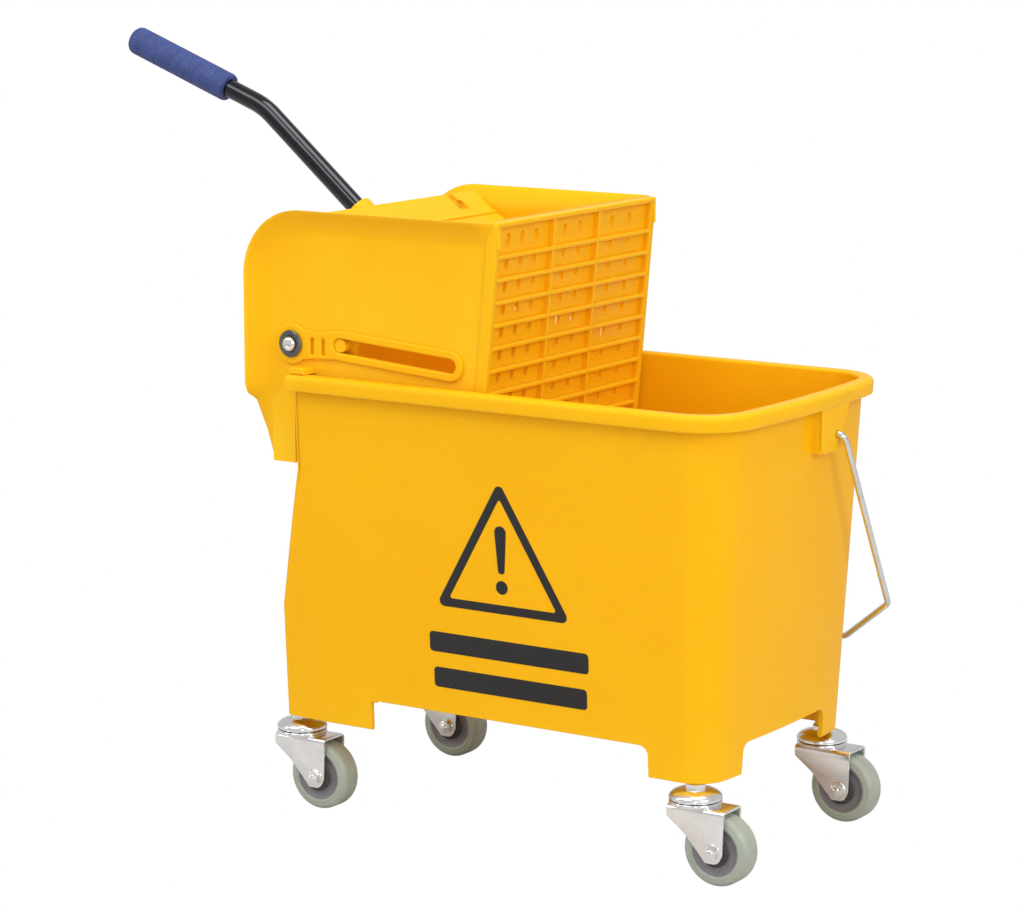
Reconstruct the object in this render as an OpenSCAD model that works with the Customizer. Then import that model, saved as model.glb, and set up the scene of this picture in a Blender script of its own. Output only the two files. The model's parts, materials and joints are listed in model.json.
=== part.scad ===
// Compact mop bucket with a side-press wringer, on four swivel casters.
// X runs from the wringer end to the pouring end, Y across, Z up from the floor.
// The origin is on the floor, midway between the four swivel axes.

/* [Bucket] */
// Height of the rim above the floor
rim_z = 333.3; // [325:0.5:345]
// Half of the bucket's width over the rim
rim_half_w = 125; // [122:0.5:128]
// Where the rim's bowed front edge crosses the middle
rim_front_x = 215; // [212:0.5:217]
// Where the flat rear wall stands at the rim
rear_top_x = -158; // [-159:0.5:-157]
// Where the rear wall stands at the feet, below its bulge
rear_low_x = -178; // [-180:0.5:-177]
// Thickness of the moulded walls
wall = 3.5; // [3:0.1:4]
// How far the rim stands out over the side and front walls
lip_out = 8; // [7:0.5:9]
// Depth of the rim's turned-down lip
lip_h = 12; // [10:0.5:14]
// Lean of the side and front walls, as a slope
draft = 0.057; // [0.05:0.001:0.06]
// Height of the skirt's lower edge
skirt_z = 92.5; // [90:0.5:96]
// Height of the undersides of the feet
foot_z = 70; // [69:0.5:71]
// Height of the bucket's floor, top face
floor_z = 104; // [102:0.5:108]

/* [Casters] */
// Distance from the front swivels to the rear swivels
wheelbase = 345; // [340:1:347]
// Distance between the two front swivels
track_front = 188; // [184:0.5:189]
// Distance between the two rear swivels
track_rear = 176; // [172:0.5:180]
// Diameter of a wheel over its tyre
wheel_d = 51; // [49:0.5:51]
// Width of a tyre
wheel_w = 19; // [17:0.5:19.5]
// Distance from a swivel axis back to its axle
trail = 20.8; // [19:0.2:22]
// Diameter of the bearing races
race_d = 37.5; // [35:0.5:39]

/* [Wringer] */
// Top of the wringer's cheeks
wringer_top_z = 452; // [450:0.5:454]
// Underside of the wringer's floor
wringer_low_z = 262; // [260:0.5:264]
// Outer half width over the two flat cheeks
cheek_y = 107.5; // [107:0.1:108]
// Thickness of a cheek
cheek_t = 3; // [2.6:0.1:3.2]
// Front face of the grille at the cheeks' top
grille_top_x = 17.5; // [16:0.5:19]
// Lean of the grille from upright, in degrees
grille_lean = 5.1; // [4.5:0.1:5.5]
// How far the cheeks' edge flares outwards
flare_out = 7.5; // [6:0.5:8]
// Width of the flared band
flare_w = 15; // [13:0.5:16]

/* [Press] */
// Lever pivot, forward and up
pivot = [-162, 354]; // [-400:0.5:400]
// Guide pin at rest, forward and up
pin_rest = [-119, 355.5]; // [-400:0.5:400]
// Travel of the press plate along its slots
press_travel = 96.3; // [90:0.1:97]
// Downward slope of the slots, in degrees
slot_slope = 4.2; // [3.8:0.1:4.6]
// Swing of the lever, in degrees
lever_swing = 70; // [60:10:70]
// Distance from the lever's pivot to its drive rod
rod_radius = 72; // [71:0.5:73]
// Where the drive rod starts, in degrees behind upright
rod_start = 20; // [18:0.5:21]
// Diameter of the drive rod
rod_d = 8; // [7:0.5:8]

/* [Handle] */
// Diameter of the handle tube
tube_d = 14.4; // [13.5:0.1:15]
// Diameter of the grip sleeve
grip_d = 22; // [20:0.5:24]
// Diameter of the bail wire
wire_d = 4.6; // [4:0.1:5]

/* [Hidden] */
$fn = 64;

yellow = "#fcb814";
steel = "#c9ccd0";
eps = 0.01;
function unit(v) = v / norm(v);

// ---- Plan outlines of the bucket ----
bow_r = 900;          // radius of the bowed front edge
rear_bulge_z = 156;   // below this the rear wall stands at rear_low_x
rear_step_z = 262;    // above this it stands at rear_top_x
corner_top_r = 36;    // front corners at the rim
corner_low_r = 24;    // front corners at the feet
rear_corner_r = 9;

function arc(c, r, from, to, n) =
    [for (i = [0:n]) c + r * [cos(from + (to - from) * i / n), sin(from + (to - from) * i / n)]];

// Outline with a bowed front, large front corners and a flat rear edge.
function plan(front, half_w, rear, corner, rear_corner) =
    let (bow_c = front - bow_r,
         side = half_w - corner,
         corner_x = bow_c + sqrt(pow(bow_r - corner, 2) - side * side),
         meet = atan2(side, corner_x - bow_c),
         rear_c = rear + rear_corner,
         rear_y = half_w - rear_corner)
    concat(arc([corner_x, -side], corner, -90, -meet, 8),
           arc([bow_c, 0], bow_r, -meet * 0.8, meet * 0.8, 6),
           arc([corner_x, side], corner, meet, 90, 8),
           arc([rear_c, rear_y], rear_corner, 90, 180, 4),
           arc([rear_c, -rear_y], rear_corner, 180, 270, 4));

function half_w_at(z) = rim_half_w - lip_out - (rim_z - z) * draft;
function front_at(z) = rim_front_x - lip_out - (rim_z - z) * draft;
function corner_at(z) = corner_low_r + (corner_top_r - corner_low_r) * (z - foot_z) / (rim_z - foot_z);
function rear_at(z) =
    z >= rear_step_z ? rear_top_x
    : z <= rear_bulge_z ? rear_low_x
    : rear_low_x + (rear_top_x - rear_low_x) * (z - rear_bulge_z) / (rear_step_z - rear_bulge_z);

// Plan of the body at height z, moved inwards by inset.
module body_slice(z, inset) {
    translate([0, 0, z])
        linear_extrude(eps)
            polygon(plan(front_at(z) - inset, half_w_at(z) - inset, rear_at(z) + inset,
                         corner_at(z) - inset, rear_corner_r - inset));
}

// Tapered body between the heights low and high, in two stretches that meet at the rear step.
module body_shape(low, high, inset) {
    hull() {
        body_slice(low, inset);
        body_slice(rear_bulge_z, inset);
        body_slice(rear_step_z, inset);
    }
    hull() {
        body_slice(rear_step_z, inset);
        body_slice(high - eps, inset);
    }
}

module rim_plan(inset, opening) {
    difference() {
        polygon(plan(rim_front_x - inset, rim_half_w - inset, rear_top_x, corner_top_r - inset, 6));
        polygon(plan(front_at(rim_z) - opening, half_w_at(rim_z) - opening,
                     rear_top_x + (opening > 0 ? wall : -1), corner_top_r - opening, 5));
    }
}

// ---- Casters ----
front_caster_x = wheelbase / 2;
rear_caster_x = -wheelbase / 2;
axle_z = wheel_d / 2;
fork_top_z = 55.5;
fork_sheet = 2;
fork_half_w = wheel_w / 2 + 3.5;
race_low_z = 58.6;
race_top_z = 62.6;
stem_r = 4;
stem_top_z = 92;
ball_r = 1.1;
axle_r = 3;
sleeve_r = 4.6;
run_fit = 0.08;
CASTERS = [["fl", front_caster_x, track_front / 2], ["fr", front_caster_x, -track_front / 2],
           ["rl", rear_caster_x, track_rear / 2], ["rr", rear_caster_x, -track_rear / 2]];

foot_in_y = 60;               // inner side of every foot
foot_front_x = 139;           // rear side of the front feet
foot_rear_x = -98;            // front side of the rear feet
boss_r = 11;

// ---- Bucket ----
lug_y = 31;
lug_z = 302;
lug_half_w = 22;
lug_drop = 12;
lug_x = rim_front_x - 1.5;
rear_lug_x = -170;

// Blocks over the four feet.
module foot_zones() {
    for (side = [-1, 1]) {
        translate([foot_front_x, side > 0 ? foot_in_y : -200, foot_z - 2])
            cube([100, 200 - foot_in_y, floor_z - foot_z + 2]);
        translate([foot_rear_x - 120, side > 0 ? foot_in_y : -200, foot_z - 2])
            cube([120, 200 - foot_in_y, floor_z - foot_z + 2]);
    }
}

module stem_bosses(r, low, high) {
    for (c = CASTERS)
        translate([c[1], c[2], low]) cylinder(r = r, h = high - low);
}

module bail_lugs() {
    // Front lug: a box that hangs from the lip.
    difference() {
        translate([front_at(lug_z) - 3, lug_y - lug_half_w, lug_z - lug_drop])
            cube([lug_x - front_at(lug_z) + 3, 2 * lug_half_w, rim_z - 2 - lug_z + lug_drop]);
        translate([front_at(lug_z) - 20, lug_y - lug_half_w + 3, lug_z - lug_drop - 1])
            cube([lug_x - 3 - front_at(lug_z) + 20, 2 * lug_half_w - 6, rim_z - 3 - lug_z + lug_drop + 1]);
    }
    // Rear lug: a block on the rear wall.
    translate([rear_lug_x, lug_y - 12, lug_z - 12])
        cube([rear_top_x - rear_lug_x + 1, 24, 24]);
}

// Space under the floor, around the stem bosses.
module under_space() {
    difference() {
        hull() {
            body_slice(foot_z - 1, wall);
            body_slice(floor_z - wall, wall);
        }
        stem_bosses(boss_r, foot_z, floor_z);
    }
}

module bucket() {
    color(yellow) difference() {
        union() {
            difference() {
                body_shape(foot_z, rim_z, 0);
                body_shape(floor_z, rim_z + 1, wall);
                under_space();
                difference() {
                    translate([-250, -200, foot_z - 2]) cube([500, 400, skirt_z - foot_z + 2]);
                    foot_zones();
                }
            }
            bail_lugs();
            translate([0, 0, rim_z - 3]) linear_extrude(3) rim_plan(0, wall);
            translate([0, 0, rim_z - lip_h]) linear_extrude(lip_h)
                difference() {
                    rim_plan(0, 0);
                    polygon(plan(rim_front_x - 3, rim_half_w - 3, rear_top_x - 1, corner_top_r - 3, 4));
                }
        }
        stem_bosses(stem_r, foot_z - 1, stem_top_z);
        translate([rear_lug_x - 1, lug_y, lug_z]) rotate([0, 90, 0])
            cylinder(d = wire_d + 2 * run_fit, h = 9);
        translate([lug_x - 6, lug_y, lug_z]) rotate([0, 90, 0])
            cylinder(d = wire_d + 2 * run_fit, h = 8);
    }
}

// ---- Bail: one bent wire, legs outside both end walls ----
bail_front_x = 219;
bail_rear_x = -209;
bail_hang = 28.6;     // lean of the hanging bail from straight down
bail_leg = 155.5;
bail_reach = 194;
bail_step = 44;       // length that each slanting stretch runs along X
bail_bend_r = 6;
bend_lap = 0.03;      // the bends are this much fuller than the straight stretches
BAIL = [[lug_x - 5, 0], [bail_front_x, 0], [bail_front_x, bail_leg], [bail_front_x - bail_step, bail_reach],
        [bail_rear_x + bail_step, bail_reach], [bail_rear_x, bail_leg], [bail_rear_x, 0], [rear_lug_x + 7, 0]];

// Straight rod from a to b in the XZ plane; a bore above 0 makes it a tube.
module straight_rod(a, b, r, bore) {
    d = b - a;
    translate([a[0], 0, a[1]]) rotate([0, atan2(d[0], d[1]), 0]) difference() {
        cylinder(r = r, h = norm(d));
        if (bore > 0) translate([0, 0, -1]) cylinder(r = bore, h = norm(d) + 2);
    }
}

// Part of a torus at the corner b of the path a, b, c, which turns left seen from -Y.
module rod_bend(a, b, c, r, bore, bend_r) {
    from = unit(b - a);
    turn = acos(from * unit(c - b));
    centre = b - bend_r * tan(turn / 2) * from + bend_r * [-from[1], from[0]];
    translate([centre[0], 0, centre[1]]) rotate([90, 0, 0]) rotate([0, 0, atan2(from[1], from[0]) - 90])
        rotate_extrude(angle = turn) translate([bend_r, 0]) difference() {
            circle(r = r + bend_lap);
            if (bore > 0) circle(r = bore - bend_lap);
        }
}

// Rod or tube along a path in the XZ plane that always turns left seen from -Y.
module bent_rod(path, r, bore, bend_r) {
    last = len(path) - 1;
    function cut(i) = i == 0 || i == last ? 0
        : bend_r * tan(acos(unit(path[i] - path[i - 1]) * unit(path[i + 1] - path[i])) / 2) - bend_lap * 6;
    for (i = [0:last - 1]) {
        d = unit(path[i + 1] - path[i]);
        straight_rod(path[i] + cut(i) * d, path[i + 1] - cut(i + 1) * d, r, bore);
    }
    for (i = [1:last - 1]) rod_bend(path[i - 1], path[i], path[i + 1], r, bore, bend_r);
}

module bail_wire() {
    color(steel) translate([0, lug_y, lug_z]) rotate([180 + bail_hang, 0, 0])
        bent_rod(BAIL, wire_d / 2, 0, bail_bend_r);
}

// ---- Wringer housing ----
slot_left_x = -161.5;         // the cheeks straddle the rear wall between these two
slot_right_x = -151;
cheek_rear_x = -200.5;
cheek_round_r = 50;
tail_low_z = 265;
tail_turn_z = tail_low_z + 44;   // where the flared band ends above the tail
round_c = [cheek_rear_x + cheek_round_r, wringer_top_z - cheek_round_r];
seat_gap = 0.3;
flare_end_x = grille_top_x - 14;
function grille_x(z) = grille_top_x - (wringer_top_z - z) * tan(grille_lean);
slot_r = 5.3;
slot_bead = 5;
pad_t = 3;
slot_dir = [cos(slot_slope), -sin(slot_slope)];
pin_end = pin_rest + press_travel * slot_dir;
bolt_r = 4;

// Stands a drawing made in X and Z upright, from y outwards by t, on the side given.
module on_cheek(side, y, t) {
    translate([0, side > 0 ? y + t : -y, 0]) rotate([90, 0, 0]) linear_extrude(t) children();
}

module cheek_outline() {
    polygon(concat([[grille_top_x, wringer_top_z], [grille_x(wringer_low_z), wringer_low_z],
                    [slot_right_x, wringer_low_z], [slot_right_x, rim_z + seat_gap],
                    [slot_left_x, rim_z + seat_gap], [slot_left_x, tail_low_z],
                    [cheek_rear_x + 19, tail_low_z], [cheek_rear_x + 3, tail_turn_z]],
                   arc(round_c, cheek_round_r, 180, 90, 16)));
}

module capsule(a, b, r) {
    d = b - a;
    translate(a) {
        circle(r = r);
        rotate(atan2(d[1], d[0])) translate([0, -r]) square([norm(d), 2 * r]);
    }
    translate(b) circle(r = r);
}

// Cross-section of the flared band: from the cheek outwards.
module flare_section() {
    polygon([[0, 0], [flare_w, flare_out], [flare_w, flare_out + cheek_t], [0, cheek_t]]);
}

module flare(side) {
    inner_y = cheek_y - cheek_t;
    mirror([0, side > 0 ? 0 : 1, 0]) {
        translate([round_c[0], inner_y, wringer_top_z - flare_w]) rotate([90, 0, 90])
            linear_extrude(flare_end_x - round_c[0])
                polygon([[0, 0], [flare_out, flare_w], [flare_out + cheek_t, flare_w], [cheek_t, 0]]);
        translate([round_c[0], inner_y, round_c[1]]) rotate([-90, 0, 0]) rotate([0, 0, 180])
            rotate_extrude(angle = 90)
                translate([cheek_round_r - flare_w, 0]) flare_section();
        translate([cheek_rear_x + flare_w, inner_y, tail_turn_z])
            linear_extrude(round_c[1] - tail_turn_z) rotate(90)
                polygon([[0, 0], [flare_out, flare_w], [flare_out + cheek_t, flare_w], [cheek_t, 0]]);
    }
}

// The flat part of a cheek: its outline without the flared band.
module cheek_flat() {
    difference() {
        cheek_outline();
        difference() {
            translate([cheek_rear_x - 1, tail_turn_z])
                square([flare_end_x - cheek_rear_x + 1, wringer_top_z - tail_turn_z + 1]);
            translate([round_c[0], round_c[1]]) circle(r = cheek_round_r - flare_w);
            translate([round_c[0], tail_low_z]) square([400, wringer_top_z - flare_w - tail_low_z]);
            translate([cheek_rear_x + flare_w, tail_low_z]) square([200, round_c[1] - tail_low_z]);
        }
    }
}

module pad_outline() {
    translate(pivot) circle(r = 14);
    capsule(pivot, pin_rest, 7.5);
    translate(pin_rest) circle(r = slot_r + slot_bead + 0.8);
    capsule(pin_rest, pin_end, slot_r + slot_bead);
}

module pad_holes() {
    capsule(pin_rest, pin_end, slot_r);
    for (x = [18.5, 28.5])
        translate(pivot + [x - 1.5, -6]) square([3, 12]);
}

grille_rows = 10;
grille_top_row = 27;
grille_pitch = 16.4;
grille_rib = 3;
grille_depth = 8;
grille_panel = 3;
COLUMN_RIBS = [-31, 30];      // Y of the two upright ribs
COLUMNS = [[-104, -31, 3], [-31, 30, 2], [30, 104, 2]];  // from, to and slots in each column

module grille() {
    tall = (wringer_top_z - wringer_low_z) / cos(grille_lean);
    translate([grille_top_x, 0, wringer_top_z]) rotate([0, grille_lean, 0])
        translate([-grille_depth, 0, -tall]) difference() {
            union() {
                translate([0, -cheek_y, 0]) cube([grille_panel, 2 * cheek_y, tall]);
                for (side = [-1, 1])
                    translate([0, side * (cheek_y - 1.5) - 2, 0]) cube([grille_depth, 4, tall]);
                for (y = COLUMN_RIBS)
                    translate([0, y - grille_rib / 2, 0]) cube([grille_depth, grille_rib, tall]);
                for (row = [0:grille_rows - 1])
                    translate([0, -cheek_y, tall - grille_top_row - row * grille_pitch])
                        cube([grille_depth, 2 * cheek_y, grille_rib]);
                translate([0, -cheek_y, tall - 4]) cube([grille_depth, 2 * cheek_y, 4]);
            }
            for (column = COLUMNS, row = [0:grille_rows - 1], k = [1:column[2]])
                translate([-1, column[0] + k * (column[1] - column[0]) / (column[2] + 1) - 1.8,
                           tall - grille_top_row - row * grille_pitch + grille_rib + 0.5])
                    cube([grille_depth, 3.6, row == 0 ? 11 : 9]);
        }
}

module wringer_housing() {
    inner_y = cheek_y - cheek_t;
    floor_len = grille_x(wringer_low_z) - slot_right_x - 4;
    color(yellow) {
        difference() {
            union() {
                for (side = [-1, 1]) {
                    on_cheek(side, inner_y, cheek_t) cheek_flat();
                    on_cheek(side, cheek_y, pad_t) pad_outline();
                    flare(side);
                }
                grille();
                // Perforated floor, low rear wall and the saddle over the bucket's rear wall.
                translate([slot_right_x, -inner_y, wringer_low_z]) cube([floor_len, 2 * inner_y, cheek_t]);
                translate([slot_right_x, -inner_y, wringer_low_z])
                    cube([cheek_t, 2 * inner_y, rim_z + seat_gap + 3 - wringer_low_z]);
                translate([slot_left_x - 3, -inner_y, rim_z + seat_gap])
                    cube([slot_right_x - slot_left_x + 6, 2 * inner_y, 3]);
                // Ears that rest on the side rims.
                for (side = [-1, 1])
                    translate([-150, side > 0 ? inner_y : -122, rim_z + seat_gap]) intersection() {
                        rotate([-90, 0, 0]) cylinder(r = 7.5, h = 122 - inner_y);
                        translate([-10, 0, 0]) cube([20, 122 - inner_y, 5]);
                    }
            }
            for (side = [-1, 1]) {
                on_cheek(side, inner_y - 1, cheek_t + pad_t + 2) pad_holes();
                translate([pivot[0], side * cheek_y, pivot[1]]) rotate([90, 0, 0])
                    cylinder(r = bolt_r + run_fit, h = 20, center = true);
            }
            // Drain slots through the floor.
            for (x = [slot_right_x + 12:16:grille_x(wringer_low_z) - 20], y = [-88:22:88])
                translate([x, y - 2, wringer_low_z - 1]) cube([9, 4, cheek_t + 2]);
        }
    }
}

// ---- Press plate ----
press_half_w = 101;
press_t = 3;
press_top = [-143, 449.5];    // upper edge of the hopper slope
press_ledge = [-122, 434];
press_knee = [-104, 424];
press_foot = [-118, 274];
notch_y = 62;
drive_rib_y = 45;
drive_rib_t = 4;
rod_slot_r = rod_d / 2 + 1.5;
rod_slot_step = 5;            // degrees between the circles that make up the rod's slot
PLATE_RIBS = [-80, -62, 0, 62, 80];  // Y of the stiffening ribs behind the plate

// Place of the drive rod when the lever has turned by a, and the same place seen from the plate.
function rod_at(a) = pivot + rod_radius * [sin(a - rod_start), cos(a - rod_start)];
function rod_on_plate(a) = rod_at(a) - press_travel * a / lever_swing * slot_dir;

module rod_slot() {
    for (a = [0:rod_slot_step:lever_swing])
        translate(rod_on_plate(a)) circle(r = rod_slot_r);
}

module press_profile() {
    polygon([press_top, press_ledge, press_knee, press_foot, press_foot - [press_t, 0],
             press_knee - [press_t + 1, 1], press_ledge - [3.2, 2.4], press_top - [3, 2]]);
}

module drive_rib_outline() {
    // Web behind the plate, and the arm that carries the rod's slot.
    polygon([press_knee - [2, 1], press_foot - [1, 0], press_foot - [9, 0],
             [press_knee[0] - 22, 390], [-186, 394], [-211, 400], [-213, 414],
             [-204, 434], [-190, 436.5], [-176, 434], [press_knee[0] - 34, 424]]);
}

module press_plate() {
    color(yellow) {
        difference() {
            union() {
                translate([0, press_half_w, 0]) rotate([90, 0, 0])
                    linear_extrude(2 * press_half_w) press_profile();
                for (side = [-1, 1]) {
                    // Cheek ribs of the plate, with a boss for each guide pin.
                    translate([0, side * (press_half_w - 2) + 2, 0]) rotate([90, 0, 0]) linear_extrude(4) {
                        polygon([press_knee - [2, 1], press_foot - [1, 0], press_foot - [9, 0],
                                 pin_rest - [9, 6], pin_rest + [-9, 8], press_knee - [14, 6]]);
                        translate(pin_rest) circle(r = 9);
                    }
                    translate([pin_rest[0], side > 0 ? press_half_w - 4 : -cheek_y - 1.5, pin_rest[1]])
                        rotate([-90, 0, 0]) cylinder(r = slot_r - 0.4, h = cheek_y + 5.5 - press_half_w);
                }
                for (side = [-1, 1])
                    translate([0, side * drive_rib_y + drive_rib_t / 2, 0]) rotate([90, 0, 0])
                        linear_extrude(drive_rib_t) drive_rib_outline();
                for (y = PLATE_RIBS)
                    translate([0, y + 1.5, 0]) rotate([90, 0, 0]) linear_extrude(3)
                        polygon([press_knee - [2, 1], press_foot - [1, 0], press_foot - [8, 0],
                                 press_knee - [12, 6]]);
            }
            for (side = [-1, 1])
                translate([0, side * drive_rib_y + drive_rib_t, 0]) rotate([90, 0, 0])
                    linear_extrude(2 * drive_rib_t) rod_slot();
            // Notch that holds the mop's handle, under its hook.
            translate([press_top[0] - 10, notch_y, press_top[1] - 11]) cube([30, 9, 20]);
            translate([press_top[0] - 10, notch_y + 6, press_top[1] - 11]) cube([30, 7, 6]);
        }
    }
}

// ---- Lever ----
tube_low = [-160, 425.2];
tube_bend = [-267.5, 515.5];
grip_end = [-389, 561.6];
grip_len = 94;
tube_dir = unit(tube_bend - tube_low);
grip_dir = unit(grip_end - tube_bend);
tube_wall = 1.2;
bend_r = 60;
arm_y = 93;                   // inner face of the side arms
arm_t = 7;
barrel_r = 7.5;
socket_r = 11;

module yoke_head() {
    rod = rod_at(0);
    color(yellow) difference() {
        union() {
            translate([rod[0], 41.5, rod[1]]) rotate([90, 0, 0]) cylinder(r = barrel_r, h = 83);
            straight_rod(tube_low - 6 * tube_dir, tube_low + 26 * tube_dir, socket_r, 0);
            translate([0, 6, 0]) rotate([90, 0, 0]) linear_extrude(12)
                polygon([rod + [-5, 4], rod + [5, -5], tube_low + [2, -6], tube_low + 22 * tube_dir]);
        }
        straight_rod(tube_low, tube_low + 40 * tube_dir, tube_d / 2, 0);
        translate([rod[0], 50, rod[1]]) rotate([90, 0, 0]) cylinder(r = rod_d / 2, h = 100);
        translate([tube_low[0], 20, tube_low[1]] + 13 * [tube_dir[0], 0, tube_dir[1]])
            rotate([90, 0, 0]) cylinder(r = 2, h = 40);
    }
}

module yoke_arm(side) {
    rod = rod_at(0);
    color(yellow) difference() {
        union() {
            translate([0, side > 0 ? arm_y + arm_t : -arm_y, 0]) rotate([90, 0, 0]) linear_extrude(arm_t) {
                translate(pivot) circle(r = 11);
                polygon([pivot + [-10, 3], pivot + [9, -4], rod + [6.2, -2.1], rod + [-6.2, 2.1]]);
            }
            translate([rod[0], side > 0 ? arm_y + arm_t : -48.5, rod[1]]) rotate([90, 0, 0])
                cylinder(r = barrel_r, h = arm_y + arm_t - 48.5);
        }
        translate([pivot[0], side * 100, pivot[1]]) rotate([90, 0, 0])
            cylinder(r = bolt_r, h = 30, center = true);
        translate([rod[0], side * 70, rod[1]]) rotate([90, 0, 0])
            cylinder(r = rod_d / 2, h = 80, center = true);
    }
}

module drive_rod() {
    rod = rod_at(0);
    color(steel) translate([rod[0], 103, rod[1]]) rotate([90, 0, 0]) cylinder(d = rod_d, h = 206);
}

module rod_end_clips() {
    rod = rod_at(0);
    color(steel) for (side = [-1, 1])
        translate([rod[0], side > 0 ? 102 : -101, rod[1]]) rotate([90, 0, 0]) difference() {
            cylinder(r = 6.5, h = 1);
            translate([0, 0, -1]) cylinder(r = rod_d / 2, h = 3);
        }
}

module handle_tube() {
    color("#2a2c30") difference() {
        bent_rod([tube_low, tube_bend, grip_end], tube_d / 2, tube_d / 2 - tube_wall, bend_r);
        translate([tube_low[0], 20, tube_low[1]] + 13 * [tube_dir[0], 0, tube_dir[1]])
            rotate([90, 0, 0]) cylinder(r = 2, h = 40);
    }
}

module tube_plug() {
    color("#222222") straight_rod(grip_end - 12 * grip_dir, grip_end, tube_d / 2 - tube_wall, 0);
}

module handle_grip() {
    start = grip_end - grip_len * grip_dir;
    color("#3c4b96") difference() {
        union() {
            straight_rod(start, grip_end + grip_dir, grip_d / 2, 0);
            straight_rod(grip_end + grip_dir, grip_end + 4 * grip_dir, grip_d / 2 - 1.5, 0);
        }
        straight_rod(start - grip_dir, grip_end, tube_d / 2, 0);
    }
}

module tube_screws() {
    p = [tube_low[0], 0, tube_low[1]] + 13 * [tube_dir[0], 0, tube_dir[1]];
    color(steel) translate(p) rotate([90, 0, 0]) {
        cylinder(r = 2, h = 26, center = true);
        translate([0, 0, 11]) cylinder(r = 4, h = 3);
        translate([0, 0, -14]) cylinder(r = 3.8, h = 3, $fn = 6);
    }
}

// ---- Pivot bolts: the shank turns in the cheek, the nut bears on the yoke arm ----
module pivot_bolts() {
    head_y = cheek_y + pad_t + 2;
    color(steel) for (side = [-1, 1])
        translate([pivot[0], 0, pivot[1]]) rotate([side * -90, 0, 0]) {
            translate([0, 0, 86]) cylinder(r = bolt_r, h = head_y - 86 + eps);
            translate([0, 0, head_y]) cylinder(r = 6.5, h = 3.5);
        }
}

module pivot_washers() {
    color("#8a8d92") for (side = [-1, 1])
        translate([pivot[0], 0, pivot[1]]) rotate([side * -90, 0, 0])
            translate([0, 0, cheek_y + pad_t + 0.3]) difference() {
                cylinder(r = 10, h = 1.7);
                translate([0, 0, -1]) cylinder(r = bolt_r, h = 4);
            }
}

module pivot_nuts() {
    color(steel) for (side = [-1, 1])
        translate([pivot[0], 0, pivot[1]]) rotate([side * -90, 0, 0])
            translate([0, 0, arm_y - 6]) difference() {
                cylinder(r = 7.2, h = 6, $fn = 6);
                translate([0, 0, -1]) cylinder(r = bolt_r, h = 8);
            }
}

// ---- Caster pieces, each drawn about its own swivel axis ----
module at_caster(c) { translate([c[1], c[2], 0]) children(); }
module at_axle() { translate([trail, 0, axle_z]) rotate([90, 0, 0]) children(); }

module caster_stem() {
    color(steel) {
        low = fork_top_z - fork_sheet - 2.2;
        translate([0, 0, low]) cylinder(r = stem_r, h = stem_top_z - 2 - low);
        translate([0, 0, low]) cylinder(r = 7, h = 1.8);
        translate([0, 0, race_top_z]) cylinder(r = 8, h = foot_z - race_top_z, $fn = 6);
    }
}

module top_race() {
    color(steel) rotate_extrude()
        polygon([[stem_r, race_top_z - 1.6], [stem_r, race_top_z], [14.5, race_top_z],
                 [race_d / 2 - 1, race_top_z - 0.8], [race_d / 2, race_top_z - 2],
                 [race_d / 2, race_low_z + 0.2], [race_d / 2 - 1.6, race_low_z + 0.2],
                 [race_d / 2 - 1.6, race_top_z - 1.8], [14, race_top_z - 1.6]]);
}

module ball_ring() {
    color("#9a9ca0") translate([0, 0, race_low_z - 0.4 + ball_r]) rotate_extrude()
        translate([15.2, 0]) circle(r = ball_r);
}

module fork_side() {
    polygon([[-16, fork_top_z], [-16, 47], [13.6, 21], [14.6, 20.2], [20, axle_z], [29.5, axle_z + 1],
             [29.5, fork_top_z]]);
    translate([trail, axle_z]) circle(r = 8);
    polygon([[13.4, 21.2], [trail, axle_z], [29, axle_z], [29, 40], [-8, 42]]);
}

module fork() {
    color(steel) difference() {
        union() {
            for (side = [-1, 1])
                translate([0, side > 0 ? fork_half_w : -fork_half_w + fork_sheet, 0])
                    rotate([90, 0, 0]) linear_extrude(fork_sheet) fork_side();
            translate([-16, -fork_half_w, fork_top_z - fork_sheet])
                cube([45.5, 2 * fork_half_w, fork_sheet]);
            rotate_extrude()
                polygon([[stem_r + run_fit, fork_top_z - fork_sheet], [race_d / 2, fork_top_z - fork_sheet],
                         [race_d / 2, fork_top_z], [race_d / 2 - 1, race_low_z - 0.4],
                         [stem_r + run_fit, race_low_z - 0.4]]);
        }
        translate([0, 0, 40]) cylinder(r = stem_r + run_fit, h = 30);
        at_axle() translate([0, 0, -20]) cylinder(r = axle_r, h = 40);
    }
}

module axle_bolt() {
    color(steel) at_axle() {
        translate([0, 0, -fork_half_w - 4]) cylinder(r = axle_r, h = 2 * fork_half_w + 4 + eps);
        translate([0, 0, fork_half_w]) cylinder(r = 5.2, h = 1.2);
        translate([0, 0, fork_half_w + 1.2]) cylinder(r = 4.2, h = 2.4, $fn = 6);
    }
}

module axle_nut() {
    color(steel) at_axle() translate([0, 0, -fork_half_w - 3.2]) difference() {
        cylinder(r = 5.4, h = 3.2, $fn = 6);
        translate([0, 0, -1]) cylinder(r = axle_r, h = 6);
    }
}

module axle_sleeve() {
    color("#2b2b2d") at_axle() translate([0, 0, -fork_half_w + fork_sheet]) difference() {
        cylinder(r = sleeve_r, h = 2 * (fork_half_w - fork_sheet));
        translate([0, 0, -1]) cylinder(r = axle_r, h = 30);
    }
}

hub_r = 15.8;
module wheel_hub() {
    half = wheel_w / 2 - 0.6;
    color("#7d787d") at_axle() rotate_extrude()
        polygon([[sleeve_r + run_fit, -half - 0.4], [9, -half - 0.4], [9.8, -half + 1.2], [hub_r - 2, -half + 1.2],
                 [hub_r, -half], [hub_r, half], [hub_r - 2, half - 1.2], [9.8, half - 1.2], [9, half + 0.4],
                 [sleeve_r + run_fit, half + 0.4]]);
}

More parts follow.
